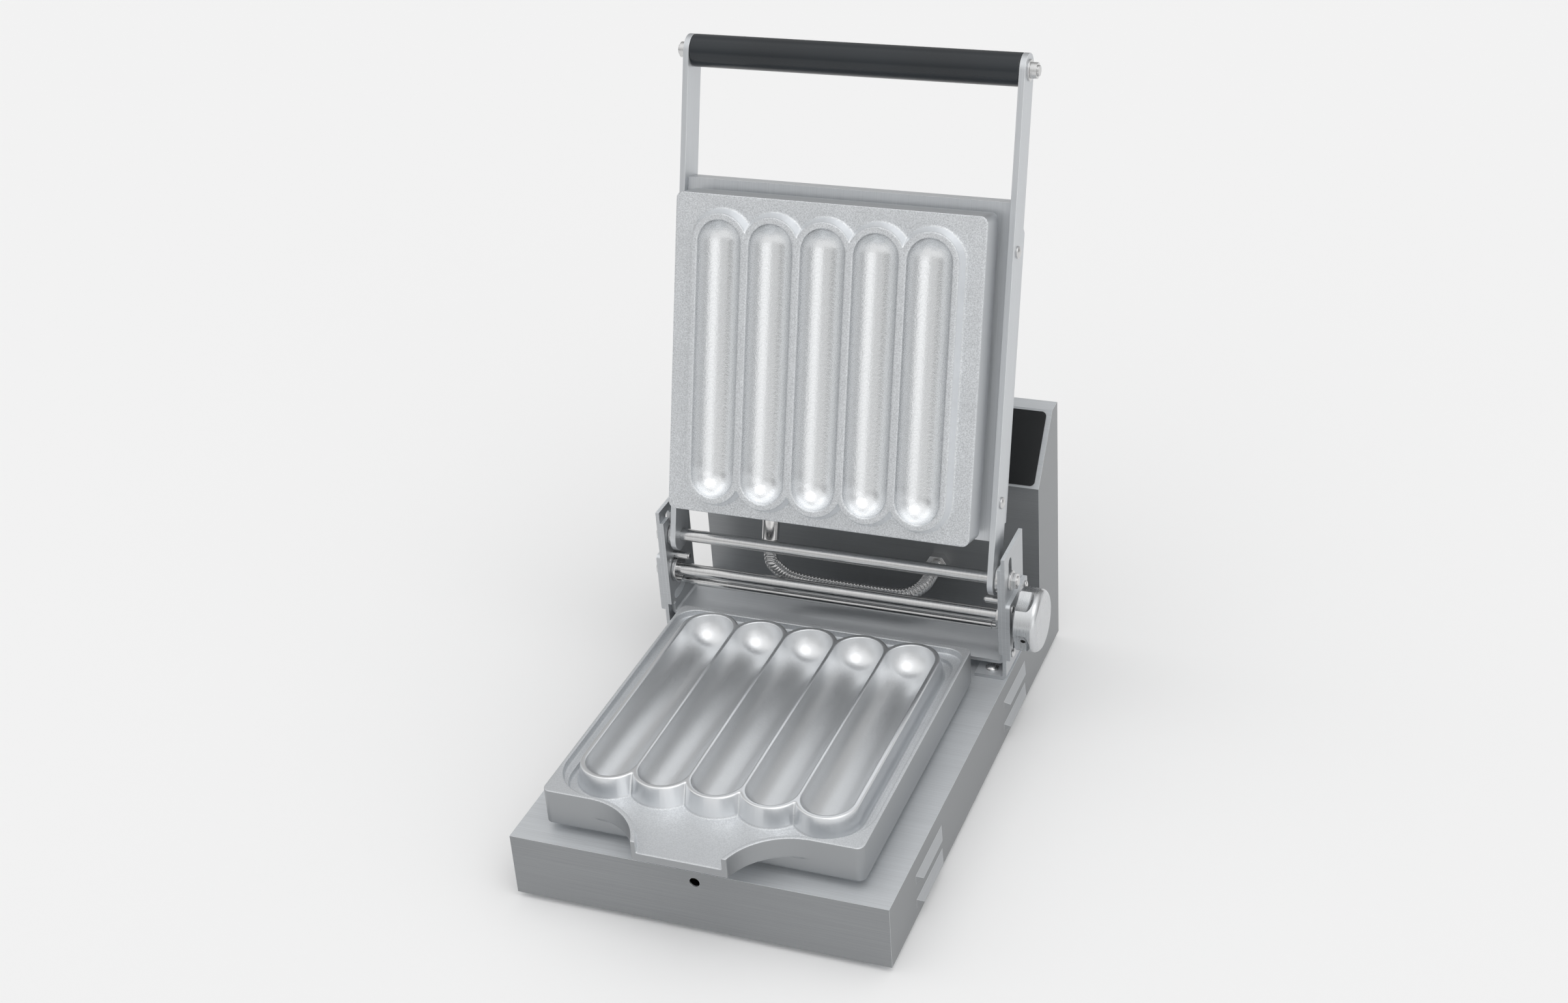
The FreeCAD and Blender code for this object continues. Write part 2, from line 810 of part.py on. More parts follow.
def foot_screw_spots(side):
    across = side * (half_width - D.bracket_foot * 0.55)
    return [(across, bracket_front + D.bracket_depth * share) for share in (0.2, 0.8)]


def bearing_screw_spots():
    """Corners of the bearing plates, from the shaft's centre."""
    inset = 6.0
    low = -D.bearing_drop + inset
    return [
        (y, z) for y in (inset - D.bracket_lead, D.bracket_depth - D.bracket_lead - inset)
        for z in (low, low + D.bearing_height - 2 * inset)
    ]


def from_shaft(outline):
    """An outline about the shaft's centre, moved to the object's axes."""
    moved = []
    for entry in outline:
        if entry[0] == "close":
            moved.append(("close", entry[1] + hinge_y, entry[2] + shaft_z, entry[3]))
        elif len(entry) == 2:
            moved.append((entry[0] + hinge_y, entry[1] + shaft_z))
        else:
            centre = (entry[2] + hinge_y, entry[3] + shaft_z)
            moved.append((entry[0] + hinge_y, entry[1] + shaft_z, *centre, entry[4]))
    return moved


def shaft_holes():
    """The shaft's bush hole and the bearing plate's screw holes, as circles of a side view."""
    screws = [(hinge_y + y, shaft_z + z, D.sheet_screw) for y, z in bearing_screw_spots()]
    return [(hinge_y, shaft_z, D.bush_radius)] + screws


def tie_slot():
    half = D.tie_radius + 0.6
    return from_shaft(arc_slot(D.crank_radius, D.crank_rest + 1.5, D.crank_swing + 3, half))


def make_hinge_stand():
    gauge, bend = D.bracket_gauge, D.bend_radius
    top = hinge_z + D.bracket_rise
    slot_half = D.rod_end_radius + D.running_fit
    for side, word in zip(SIDES, ("left", "right")):
        bracket = Blank(f"{word}_bracket_plate")
        toe = half_width - D.bracket_foot
        profile = [
            (toe, deck), (half_width - bend, deck),
            (half_width, deck + bend, half_width - bend, deck + bend, True),
            (half_width, top), (bracket_in, top), (bracket_in, deck + bend),
            (half_width - bend, deck + gauge, half_width - bend, deck + bend, False), (toe, deck + gauge),
        ]
        bracket.pad("XZ", (bracket_front, bracket_rear), side_outline(profile, side))
        through = outward(side, (bracket_in - gauge, half_width + gauge))
        slot = upright_slot(hinge_y, hinge_z, hinge_z + D.float_travel, slot_half)
        bracket.pocket("YZ", through, [slot, tie_slot()], shaft_holes())
        bracket.pocket("XY", (deck - gauge, deck + 2 * gauge), circles=[
            (*spot, D.frame_screw) for spot in foot_screw_spots(side)])
        node(f"{word}_hinge_bracket", bracket.body)

        plate = Blank(f"{word}_bearing")
        low = shaft_z - D.bearing_drop
        outline = rounded((bracket_front, bracket_rear), (low, low + D.bearing_height), gauge)
        plate.pad("YZ", outward(side, (half_width, bearing_out)), outline)
        through = outward(side, (half_width - gauge, bearing_out + gauge))
        plate.pocket("YZ", through, [tie_slot()], shaft_holes())
        node(f"{word}_bearing_plate", plate.body)

    web = deck + D.channel_lift
    rise = hinge_z + D.channel_rise
    channel = Blank("channel_sheet")
    right = [
        (bracket_in - bend, web), (bracket_in, web + bend, bracket_in - bend, web + bend, True),
        (bracket_in, rise), (flange_in, rise), (flange_in, web + bend),
        (bracket_in - bend, web + gauge, bracket_in - bend, web + bend, False),
    ]
    left = [
        (-bracket_in + bend, web + gauge),
        (-flange_in, web + bend, -bracket_in + bend, web + bend, False),
        (-flange_in, rise), (-bracket_in, rise), (-bracket_in, web + bend),
        (-bracket_in + bend, web, -bracket_in + bend, web + bend, True),
    ]
    channel.pad("XZ", (bracket_front, bracket_rear), right + left)
    relief = [(-half_width, web - gauge), (half_width, web - gauge),
              (half_width, web + D.channel_relief), (-half_width, web + D.channel_relief)]
    channel.pocket("XZ", (bracket_front - gauge, bracket_front + D.channel_notch), [relief])
    open_slot = [
        (hinge_y + slot_half, hinge_z), (hinge_y + slot_half, rise + gauge),
        (hinge_y - slot_half, rise + gauge), (hinge_y - slot_half, hinge_z),
        ("close", hinge_y, hinge_z, True),
    ]
    pin_holes = [(hinge_y - D.arm_offset, hinge_z - D.pin_drop, D.pin_radius)]
    channel.pocket("YZ", (-half_width, half_width), [open_slot, tie_slot()], shaft_holes() + pin_holes)
    node("hinge_channel", channel.body)

    bushes = [tube("x", outward(side, (flange_in, bearing_out)), (hinge_y, shaft_z),
                   D.bush_radius, D.rod_radius + D.running_fit) for side in SIDES]
    node("shaft_bushes", *bushes)
    pins = []
    for side in SIDES:
        centre = (hinge_y - D.arm_offset, hinge_z - D.pin_drop)
        tip = flange_in - D.pin_reach
        shank = rod("x", outward(side, (tip + 1, bracket_in)), centre, D.pin_radius)
        nose = rod("x", outward(side, (tip, tip + 1)), centre, D.pin_radius - 0.8)
        pins.append(fuse(shank, nose))
    node("stop_pins", *pins)
    foot_screws = [
        pan_screw("z", deck + gauge, spot, 1, gauge + D.sheet_gauge, D.frame_screw_head, D.frame_screw)
        for side in SIDES for spot in foot_screw_spots(side)
    ]
    deck_holes = [rod("z", (deck - 2 * gauge, deck + gauge), spot, D.frame_screw)
                  for side in SIDES for spot in foot_screw_spots(side)]
    node("bracket_screws", *foot_screws)
    node("base_housing", cut(nodes.pop("base_housing"), *deck_holes))
    plate_screws = [
        pan_screw("x", side * bearing_out, (hinge_y + y, shaft_z + z), side, 3 * gauge,
                  D.bearing_screw, D.sheet_screw)
        for side in SIDES for y, z in bearing_screw_spots()
    ]
    node("bearing_plate_screws", *plate_screws)


# Lower plate and its heater

def make_lower_plate():
    half = D.plate_width / 2
    plate_back = plate_front + D.plate_length
    casting = Blank("lower_casting")
    casting.pad("XY", (plate_low, plate_top), rounded(
        (-half, half), (plate_front, plate_back), D.plate_corner))
    tip = plate_front - D.spout_reach
    drop = D.spout_arc - D.spout_reach
    arc_x = D.spout_half + root(D.spout_arc * D.spout_arc - drop * drop)
    arc_y = plate_front - D.spout_arc
    root_y = plate_front + D.plate_corner
    spout = [
        (-D.spout_half, tip), (D.spout_half, tip), (arc_x, plate_front, arc_x, arc_y, False),
        (arc_x, root_y), (-arc_x, root_y), (-arc_x, plate_front), ("close", -arc_x, arc_y, False),
    ]
    casting.pad("XY", (moat_floor - D.spout_floor, plate_top), spout)
    inner_arc = D.spout_arc + D.spout_lip
    mouth = arc_x - root(inner_arc * inner_arc - drop * drop)
    moat_half = half - D.border
    corner = moat_half - arc_x
    shore = plate_front + D.spout_lip
    back = plate_back - D.moat_rear
    bay = D.moat_corner
    right = [
        (mouth, tip - 1), (mouth, tip), (arc_x, shore, arc_x, arc_y, False),
        (moat_half, shore + corner, arc_x, shore + corner, True),
        (moat_half, back - bay), (moat_half - bay, back, moat_half - bay, back - bay, True),
    ]
    left = [
        (-moat_half + bay, back), (-moat_half, back - bay, -moat_half + bay, back - bay, True),
        (-moat_half, shore + corner), (-arc_x, shore, -arc_x, shore + corner, True),
        (-mouth, tip, -arc_x, arc_y, False), (-mouth, tip - 1),
    ]
    casting.pocket("XY", (plate_top - D.moat_step, plate_top), [right + left])
    ledge = D.moat_ledge
    inset = moat_half - ledge
    floor_right = [
        (mouth, tip - 1), (mouth, tip), (arc_x, shore, arc_x, arc_y, False),
        (inset, shore + corner - ledge, arc_x, shore + corner - ledge, True),
        (inset, back - ledge - bay), (inset - bay, back - ledge, inset - bay, back - ledge - bay, True),
    ]
    floor_left = [
        (-inset + bay, back - ledge), (-inset, back - ledge - bay, -inset + bay, back - ledge - bay, True),
        (-inset, shore + corner - ledge), (-arc_x, shore, -arc_x, shore + corner - ledge, True),
        (-mouth, tip, -arc_x, arc_y, False), (-mouth, tip - 1),
    ]
    casting.pocket("XY", (moat_floor, plate_top), [floor_right + floor_left])
    rims, cavities = [], []
    outer = D.cavity_radius + D.rim_wall
    spread = outer + (rim_top - moat_floor) * tangent(D.rim_draft)
    ends = (cavity_mid - D.cavity_span / 2, cavity_mid + D.cavity_span / 2)
    for step in CAVITIES:
        x = step * D.cavity_pitch
        rims.append(turned_wedge(bank(x, (spread, outer), (moat_floor, rim_top), ends)))
        rims.extend(cone("z", (moat_floor, rim_top), (x, end), spread, outer) for end in ends)
        cavities.append(rod("y", ends, (x, rim_top), D.cavity_radius))
        cavities.extend(ball((x, end, rim_top), D.cavity_radius) for end in ends)
    dowels = [
        rod("z", (plate_low - D.dowel_rise, plate_low + D.dowel_rise), spot, D.dowel_radius + D.running_fit)
        for spot in dowel_spots()
    ]
    node("lower_plate", cut(fuse(casting.body, *rims), *cavities, *dowels))


def turned_wedge(wedge):
    """Stands a wedge up: its own y becomes the object's z, and its own z becomes the object's y."""
    mirrored = doc.addObject("Part::Mirroring", "mirrored")
    mirrored.Source = wedge
    mirrored.Base = Vector()
    mirrored.Normal = Vector(0, 1, -1)
    return mirrored


def dowel_spots():
    reach = D.cavity_span / 2
    return [(0, plate_mid - reach), (0, plate_mid + reach)]


def heating_element(frame_axis, x0, level, low, high):
    """A tubular element bent three times, lying flat between two ends; level is its centre's depth."""
    pieces = []
    bend, radius = D.element_bend, D.element_radius
    for leg in range(4):
        x = x0 + leg * 2 * bend
        if frame_axis == "y":
            pieces.append(rod("y", (low, high), (x, level), radius))
        else:
            pieces.append(rod("z", (low, high), (x, level), radius))
    for turn in range(3):
        ring = doc.addObject("Part::Torus", "bend")
        ring.Angle3 = 180
        bind(ring, Radius1=bend, Radius2=radius)
        x = x0 + (2 * turn + 1) * bend
        far = turn % 2 == 0
        if frame_axis == "y":
            place(ring, (x, high if far else low, level), Z_AXIS, 0 if far else 180)
        else:
            end = high if far else low
            place(ring, (x, level, end), X_AXIS, 90 if far else -90)
        pieces.append(ring)
    return fuse(*pieces)


def post_spots():
    across = D.platen_width / 2 - D.post_inset
    along = D.platen_length / 2 - D.post_inset
    return [(side * across, plate_mid + end * along) for side in SIDES for end in SIDES]


def make_lower_heater():
    across, along = D.platen_width / 2, D.platen_length / 2
    low = plate_low - D.platen_depth
    slab = box((-across, across), (plate_mid - along, plate_mid + along), (low, plate_low))
    bores = [rod("z", (plate_low - D.dowel_rise, plate_low), spot, D.dowel_radius) for spot in dowel_spots()]
    node("lower_platen", cut(slab, *bores))
    dowels = [rod("z", (plate_low - D.dowel_rise, plate_low + D.dowel_rise - D.fit_gap), spot, D.dowel_radius)
              for spot in dowel_spots()]
    node("plate_dowels", *dowels)
    inner_floor = casing_low + D.sheet_gauge
    node("platen_posts", *[rod("z", (inner_floor, low), spot, D.post_radius) for spot in post_spots()])
    level = low - D.element_radius - D.fit_gap
    near, far = plate_mid - element_reach, plate_mid + element_reach
    node("lower_heating_element", heating_element("y", -3 * D.element_bend, level, near, far))
    pad_top = level - D.element_radius - D.fit_gap
    inset = D.post_inset + D.post_radius + D.fit_gap
    pad = box((inset - across, across - inset), (plate_mid - along + inset, plate_mid + along - inset),
              (inner_floor, pad_top))
    node("base_insulation", pad)


# Controls on the slanted panel, in the panel's own axes

def make_controls():
    wall, film = D.sheet_gauge, D.overlay_gauge
    half = half_width - D.overlay_inset
    sheet_face = Blank("overlay_film")
    margin = 2.0
    sheet_face.pad("XY", (0, film), rounded(
        (-half, half), (margin, D.panel_length - margin), D.overlay_inset))
    node("control_overlay", cut(sheet_face.body, *panel_openings(3 * wall), display_opening(3 * wall, 0)),
         frame=PANEL)
    gap = D.fit_gap
    glass = Blank("display_glass")
    half_glass, tall_glass = D.display_width / 2 - gap, D.display_height / 2 - gap
    glass.pad("XY", (0, film), rounded((D.display_at - half_glass, D.display_at + half_glass),
                                       (panel_mid - tall_glass, panel_mid + tall_glass), 1.5))
    node("display_window", glass.body, frame=PANEL)

    x, across, tall = D.switch_at, D.switch_width / 2, D.switch_height / 2
    deep = 2 * D.rocker_radius
    brim, skin = 3.0, 1.2
    bezel = box((x - across - brim, x + across + brim), (panel_mid - tall - brim, panel_mid + tall + brim),
                (film, film + skin))
    barrel = box((x - across, x + across), (panel_mid - tall, panel_mid + tall), (-deep, film + skin))
    room = box((x - across + skin, x + across - skin), (panel_mid - tall + skin, panel_mid + tall - skin),
               (-deep + skin, film + 2 * skin))
    pivot = (panel_mid, -D.rocker_radius / 2)
    pivot_radius = 1.5
    pins = rod("x", (x - across, x + across), pivot, pivot_radius)
    node("switch_housing", fuse(cut(fuse(bezel, barrel), room), pins), frame=PANEL)
    cheek = across - skin - gap
    drum = rod("x", (x - cheek, x + cheek), (0, 0), D.rocker_radius)
    sky = box((x - across, x + across), (-2 * D.rocker_radius, 2 * D.rocker_radius),
              (D.rocker_radius * 0.55, 2 * D.rocker_radius))
    bore = rod("x", (x - across, x + across), (0, 0), pivot_radius + D.running_fit)
    rocker = cut(drum, sky, bore)
    place(rocker, (0, *pivot), X_AXIS, -D.rocker_tilt)
    node("power_rocker", rocker, frame=PANEL)

    stop = -wall - D.key_travel
    for key in range(KEYS):
        centre = (D.key_at + key * D.key_pitch, panel_mid)
        stem = rod("z", (stop - 1, film + 2.6), centre, D.key_radius)
        crown = cone("z", (film + 2.6, film + 3.4), centre, D.key_radius, D.key_radius - 0.8)
        skirt = rod("z", (stop - 1, -wall - gap), centre, D.key_radius + 1.4)
        node(f"control_key_{key + 1}", fuse(stem, crown, skirt), frame=PANEL)
    board_face = stop - 1 - D.key_travel - 0.5
    left = D.display_at - D.display_width / 2
    right = D.key_at + KEYS * D.key_pitch
    board = box((left, right), (panel_mid - 22, panel_mid + 22), (board_face - 1.6, board_face))
    chips = [box((left + 8 + step * 30, left + 22 + step * 30), (panel_mid - 8, panel_mid + 6),
                 (board_face - 5, board_face - 1.6)) for step in range(4)]
    node("control_board", fuse(board, *chips), frame=PANEL)
    posts = [rod("z", (board_face, -wall), (at, panel_mid + end * 18), 2.5)
             for at in (left + 4, right - 5) for end in SIDES]
    node("board_standoffs", *posts, frame=PANEL)
    floor = casing_low + wall
    mid = tower_front + D.tower_depth / 2
    wide, deep, foot = D.relay_width / 2, D.relay_depth / 2, floor + D.relay_foot
    tab, ledge = wide + D.relay_flange, deep + D.relay_flange / 2
    base = box((D.relay_at - tab, D.relay_at + tab), (mid - ledge, mid + ledge), (floor, foot))
    case = box((D.relay_at - wide, D.relay_at + wide), (mid - deep, mid + deep),
               (foot, foot + D.relay_height))
    node("power_relay", fuse(base, case))
    strip_half, post_half = D.strip_width / 2, D.terminal_width / 2
    strip_top = floor + D.strip_height
    strip = box((D.strip_at, D.strip_at + TERMINALS * D.terminal_pitch), (mid - strip_half, mid + strip_half),
                (floor, strip_top))
    posts = [strip]
    for step in range(TERMINALS):
        left = D.strip_at + step * D.terminal_pitch + D.terminal_gap / 2
        right = D.strip_at + (step + 1) * D.terminal_pitch - D.terminal_gap / 2
        posts.append(box((left, right), (mid - post_half, mid + post_half),
                         (strip_top, strip_top + D.terminal_rise)))
    node("terminal_block", fuse(*posts))


# Lid, upright about its hinge axis: Y is towards the back of the lid and Z away from the hinge

def arm_screw_spots():
    middle = -2 * D.arm_offset
    return [(middle, tray_low + D.arm_screw_rise), (middle, tray_high - D.arm_screw_fall)]


def make_arms():
    half = D.arm_width / 2
    middle = -D.arm_offset
    for side, word in zip(SIDES, ("left", "right")):
        bar = Blank(f"{word}_arm_bar")
        outline = [
            (middle + half, 0), (middle + half, D.handle_reach),
            (middle - half, D.handle_reach, middle, D.handle_reach, True),
            (middle - half, 0), ("close", middle, 0, True),
        ]
        bar.pad("YZ", outward(side, (D.arm_inner, arm_out)), outline)
        through = outward(side, (D.arm_inner - 1, arm_out + 1))
        screws = [(*spot, D.frame_screw) for spot in arm_screw_spots()]
        bar.pocket("YZ", through, circles=[
            (0, 0, D.rod_radius + D.running_fit), (middle, D.handle_reach, D.handle_bolt + D.running_fit),
            (D.pin_radius, -half - 1, D.pin_radius)] + screws)
        node(f"{word}_lid_arm", bar.body, frame=LID)
    heads = [pan_screw("x", side * arm_out, spot, side, 2 * D.arm_gauge, D.arm_screw_head, D.frame_screw)
             for side in SIDES for spot in arm_screw_spots()]
    node("arm_screws", *heads, frame=LID)


def make_handle():
    centre = (-D.arm_offset, D.handle_reach)
    bolt = D.handle_bolt
    grip = tube("x", (-D.arm_inner, D.arm_inner), centre, D.handle_radius, bolt + D.running_fit)
    node("handle_grip", grip, frame=LID)
    washer, nut, tail = arm_out + 1.5, arm_out + 6.5, arm_out + 8
    node("handle_rod", rod("x", (-tail, tail), centre, bolt), frame=LID)
    bore = bolt + D.running_fit
    rings = [tube("x", outward(side, (arm_out, washer)), centre, bolt * 2, bore) for side in SIDES]
    caps = [tube("x", outward(side, (washer, nut)), centre, bolt * 1.5, bore) for side in SIDES]
    node("handle_nuts", *rings, *caps, frame=LID)


def make_lid_shells():
    wall = D.sheet_gauge
    reach = D.arm_inner - D.fit_gap / 2
    y0, y1 = -D.tray_front, D.tray_back
    outer = box((-reach, reach), (y0, y1), (tray_low, tray_high))
    inner = box((-reach + wall, reach - wall), (y0 + wall, y1 - wall),
                (tray_low + wall, tray_high - wall))
    across, along = D.platen_width / 2 + D.fit_gap, D.platen_length / 2 + D.fit_gap
    window = box((-across, across), (y0 - wall, y0 + 2 * wall), (lid_mid - along, lid_mid + along))
    side = reach - D.cover_inset
    edge = cover_high - D.cover_chamfer
    hatch_side, hatch_low, hatch_high = side - D.tray_lip, cover_low + D.tray_lip, edge - D.tray_lip
    hatch = box((-hatch_side, hatch_side), (y1 - 2 * wall, y1 + wall), (hatch_low, hatch_high))
    screws = [rod("x", (-reach - wall, reach + wall), spot, D.frame_screw) for spot in arm_screw_spots()]
    node("lid_tray", cut(outer, inner, window, hatch, *screws), frame=LID)

    cover = Blank("cover_shell")
    profile = [
        (y1, cover_low), (D.cover_back, cover_low), (D.cover_back, edge),
        (D.cover_back - D.cover_chamfer, cover_high), (y1, cover_high),
    ]
    cover.pad("YZ", (-side, side), profile)
    cover.hollow(wall, facing(-Y_AXIS))
    pipe_hole = rod("z", (cover_low - wall, cover_low + 2 * wall),
                    (D.ferrule_at, D.ferrule_back), D.hose_bore)
    node("lid_rear_cover", cut(cover.body, pipe_hole), frame=LID)
    gap = D.fit_gap
    blanket = box((-hatch_side + gap, hatch_side - gap), (y1 - wall, D.cover_back - wall - gap),
                  (hatch_low + gap, hatch_high - gap))
    node("lid_insulation", blanket, frame=LID)


def make_upper_plate():
    half = D.upper_width / 2
    face, back = -face_reach, -face_reach + D.upper_depth
    casting = Blank("upper_casting")
    casting.pad("XZ", (face, back), rounded(
        (-half, half), (lid_mid - D.upper_length / 2, lid_mid + D.upper_length / 2), D.plate_corner))
    crest = -boss_reach
    ends = (lid_heart - D.cavity_span / 2, lid_heart + D.cavity_span / 2)
    outer = D.upper_cavity + D.boss_wall
    spread = outer + D.boss_rise * tangent(D.boss_draft)
    bosses, cavities = [], []
    for step in CAVITIES:
        x = step * D.cavity_pitch
        bosses.append(bank(x, (outer, spread), (crest, face), ends))
        bosses.extend(cone("y", (crest, face), (x, end), outer, spread) for end in ends)
        cavities.append(rod("z", ends, (x, crest), D.upper_cavity))
        cavities.extend(ball((x, crest, end), D.upper_cavity) for end in ends)
    node("upper_plate", cut(fuse(casting.body, *bosses), *cavities), frame=LID)

    across, along = D.platen_width / 2, D.platen_length / 2
    tray_skin = -D.tray_front + D.sheet_gauge
    lip = D.platen_lip
    neck = box((-across, across), (back, tray_skin), (lid_mid - along, lid_mid + along))
    flange = box((-across - lip, across + lip), (tray_skin, tray_skin + D.platen_shelf),
                 (lid_mid - along - lip, lid_mid + along + lip))
    node("upper_platen", fuse(neck, flange), frame=LID)
    level = tray_skin + D.platen_shelf + D.element_radius + D.fit_gap
    near, far = lid_mid - element_reach, lid_mid + element_reach
    node("upper_heating_element", heating_element("z", -3 * D.element_bend, level, near, far), frame=LID)


# Hinge rod, lock shaft and knob

def make_hinge_rod():
    centre = (hinge_y, hinge_z)
    shoulder = flange_in - D.fit_gap
    washer = half_width + D.running_fit
    nut = washer + 1.6
    end = nut + 5
    core = rod("x", (-shoulder, shoulder), centre, D.rod_radius)
    node("hinge_rod", fuse(core, rod("x", (-end, end), centre, D.rod_end_radius)))
    spacers = [tube("x", outward(side, (arm_out + D.running_fit, shoulder)), centre, D.spacer_radius,
                    D.rod_radius + D.running_fit) for side in SIDES]
    node("rod_spacers", *spacers)
    rings = [tube("x", outward(side, (washer, nut)), centre, D.rod_end_radius * 2,
                  D.rod_end_radius + D.running_fit) for side in SIDES]
    nuts = [hexagon("x", outward(side, (nut, nut + 4)), centre, D.rod_end_radius * 3,
                    D.rod_end_radius + D.running_fit / 2) for side in SIDES]
    node("hinge_rod_nuts", *rings, *nuts)


def make_lock_shaft():
    axis = (0, 0)
    knob_back = crank_out + D.fit_gap
    left_end = crank_out + D.push_nut
    core = rod("x", (-left_end, knob_back + D.knob_depth * 0.7), axis, D.rod_radius)
    node("lock_shaft", core, frame=SHAFT)
    collars = [tube("x", outward(side, (flange_in - D.fit_gap - D.collar_depth, flange_in - D.fit_gap)), axis,
                    D.collar_radius, D.rod_radius + D.running_fit / 2) for side in SIDES]
    node("shaft_collars", *collars, frame=SHAFT)
    nut = tube("x", (-left_end, -crank_out), axis, D.push_nut_radius, D.rod_radius + D.running_fit / 2)
    node("shaft_end_nut", nut, frame=SHAFT)

    link = (crank_y, crank_z)
    tie_end = crank_out
    node("tie_bar", rod("x", (-tie_end, tie_end), link, D.tie_radius), frame=SHAFT)
    sleeve = tube("x", (-D.sleeve_half, D.sleeve_half), link,
                  D.sleeve_radius, D.tie_radius + D.running_fit / 2)
    node("tie_bar_sleeve", sleeve, frame=SHAFT)
    eye = D.crank_eye
    side_y = eye * sine(D.crank_rest)
    side_z = eye * cosine(D.crank_rest)
    outline = [
        (side_y, -side_z), (crank_y + side_y, crank_z - side_z),
        (crank_y - side_y, crank_z + side_z, crank_y, crank_z, True),
        (-side_y, side_z), ("close", 0, 0, True),
    ]
    levers = []
    for side, word in zip(SIDES, ("left", "right")):
        lever = Blank(f"{word}_crank_plate")
        lever.pad("YZ", outward(side, (crank_in, crank_out)), outline)
        lever.pocket("YZ", outward(side, (crank_in - 1, crank_out + 1)), circles=[
            (0, 0, D.rod_radius + D.running_fit / 2), (*link, D.tie_radius + D.running_fit / 2)])
        levers.append(lever.body)
    node("crank_levers", *levers, frame=SHAFT)

    knob_front = knob_back + D.knob_depth
    turned = Blank("knob_blank")
    crown = D.knob_radius - D.knob_round
    bevel = 1.0
    half_view = [
        (knob_back, 0), (knob_front, 0), (knob_front, crown),
        (knob_front - D.knob_round, D.knob_radius, knob_front - D.knob_round, crown, True),
        (knob_back + bevel, D.knob_radius), (knob_back, D.knob_radius - bevel),
    ]
    spin = turned.body.newObject("PartDesign::Revolution", "turning")
    profile = turned.sketch("XY", 0, [half_view], [])
    spin.Profile = profile
    spin.ReferenceAxis = (profile, ["H_Axis"])
    spin.Angle = 360
    doc.recompute()
    run = knob_front - D.flute_run
    ring = D.knob_radius + D.flute_radius - D.flute_depth
    tools = []
    for flute in range(FLUTES):
        turn = D.flute_turn + flute * 360 / FLUTES
        centre = (-ring * cosine(turn), ring * sine(turn))
        tools.append(rod("x", (knob_back - 1, run), centre, D.flute_radius))
        tools.append(bulb((run, *centre), D.flute_end, D.flute_radius))
    bore = rod("x", (knob_back - 1, knob_back + D.knob_depth * 0.7 + D.fit_gap), axis,
               D.rod_radius + D.running_fit / 2)
    screw_x = knob_back + D.set_screw_back
    hole = radial_rod(screw_x, D.flute_turn, 0, D.knob_radius, D.set_screw_radius + D.running_fit / 2)
    fluted = turned.body
    for tool in tools:
        fluted = cut(fluted, tool)
    node("adjusting_knob", cut(cut(fluted, bore), hole), frame=SHAFT)
    depth = D.knob_radius - D.flute_depth
    screw = radial_rod(screw_x, D.flute_turn, D.rod_radius + D.running_fit, depth - 3, D.set_screw_radius)
    node("knob_set_screw", screw, frame=SHAFT)


def radial_rod(x, turn, low, high, radius):
    """A pin that points away from the shaft, towards the front and turned up by an angle."""
    pin = doc.addObject("Part::Cylinder", "pin")
    bind(pin, Radius=radius, Height=as_size(high) - low)
    low = as_size(low)
    return place(pin, (x, -low * cosine(turn), low * sine(turn)), X_AXIS, 90 - turn)


# Conduit with its fittings

def make_fittings():
    gland_x, _, gland_z = TOWER_HOSE[-1]
    nut_front = tower_front - D.gland_depth
    centre = (gland_x, gland_z)
    nut = hexagon("y", (nut_front, tower_front), centre, D.gland_across, D.hose_bore)
    body = tube("y", (tower_front, tower_front + 10), centre, D.ferrule_radius, D.hose_bore)
    node("conduit_gland", fuse(nut, body))
    centre = (D.ferrule_at, D.ferrule_back)
    pipe = tube("z", (0, cover_low), centre, D.ferrule_radius, D.hose_bore)
    collar = tube("z", (cover_low - 8, cover_low), centre, D.ferrule_radius + 2.5, D.hose_bore)
    node("conduit_ferrule", fuse(pipe, collar), frame=LID)


def hose_path():
    """Straight runs joined by arcs as large as the runs allow, split in the middle of one run."""
    points = [Vector(*point) for point in LID_HOSE + TOWER_HOSE]
    runs = [after - before for before, after in zip(points, points[1:])]
    edges, split_at, start = [], 0, points[0]
    for index in range(1, len(points)):
        corner = points[index]
        if index == len(LID_HOSE):
            middle = (points[index - 1] + corner) * 0.5
            edges.append(Part.LineSegment(start, middle).toShape())
            split_at, start = len(edges), middle
        if index == len(points) - 1:
            edges.append(Part.LineSegment(start, corner).toShape())
            break
        before, after = runs[index - 1], runs[index]
        turn = before.getAngle(after)
        trim = 0.45 * min(before.Length, after.Length)
        entry = corner - before * (trim / before.Length)
        leave = corner + after * (trim / after.Length)
        bend_radius = trim / math.tan(turn / 2)
        inward = (entry - corner) + (leave - corner)
        inward.normalize()
        apex = corner + inward * (math.hypot(trim, bend_radius) - bend_radius)
        print(f"conduit bend {index}: radius {bend_radius:.1f} mm")
        edges.append(Part.LineSegment(start, entry).toShape())
        edges.append(Part.Arc(entry, apex, leave).toShape())
        start = leave
    return edges[:split_at], edges[split_at:]


def along(edges, distance):
    """The point and direction at a distance along a row of edges."""
    for edge in edges:
        if distance <= edge.Length or edge is edges[-1]:
            where = edge.getParameterByLength(min(distance, edge.Length))
            return edge.valueAt(where), edge.tangentAt(where)
        distance -= edge.Length
    raise ValueError("no edges")


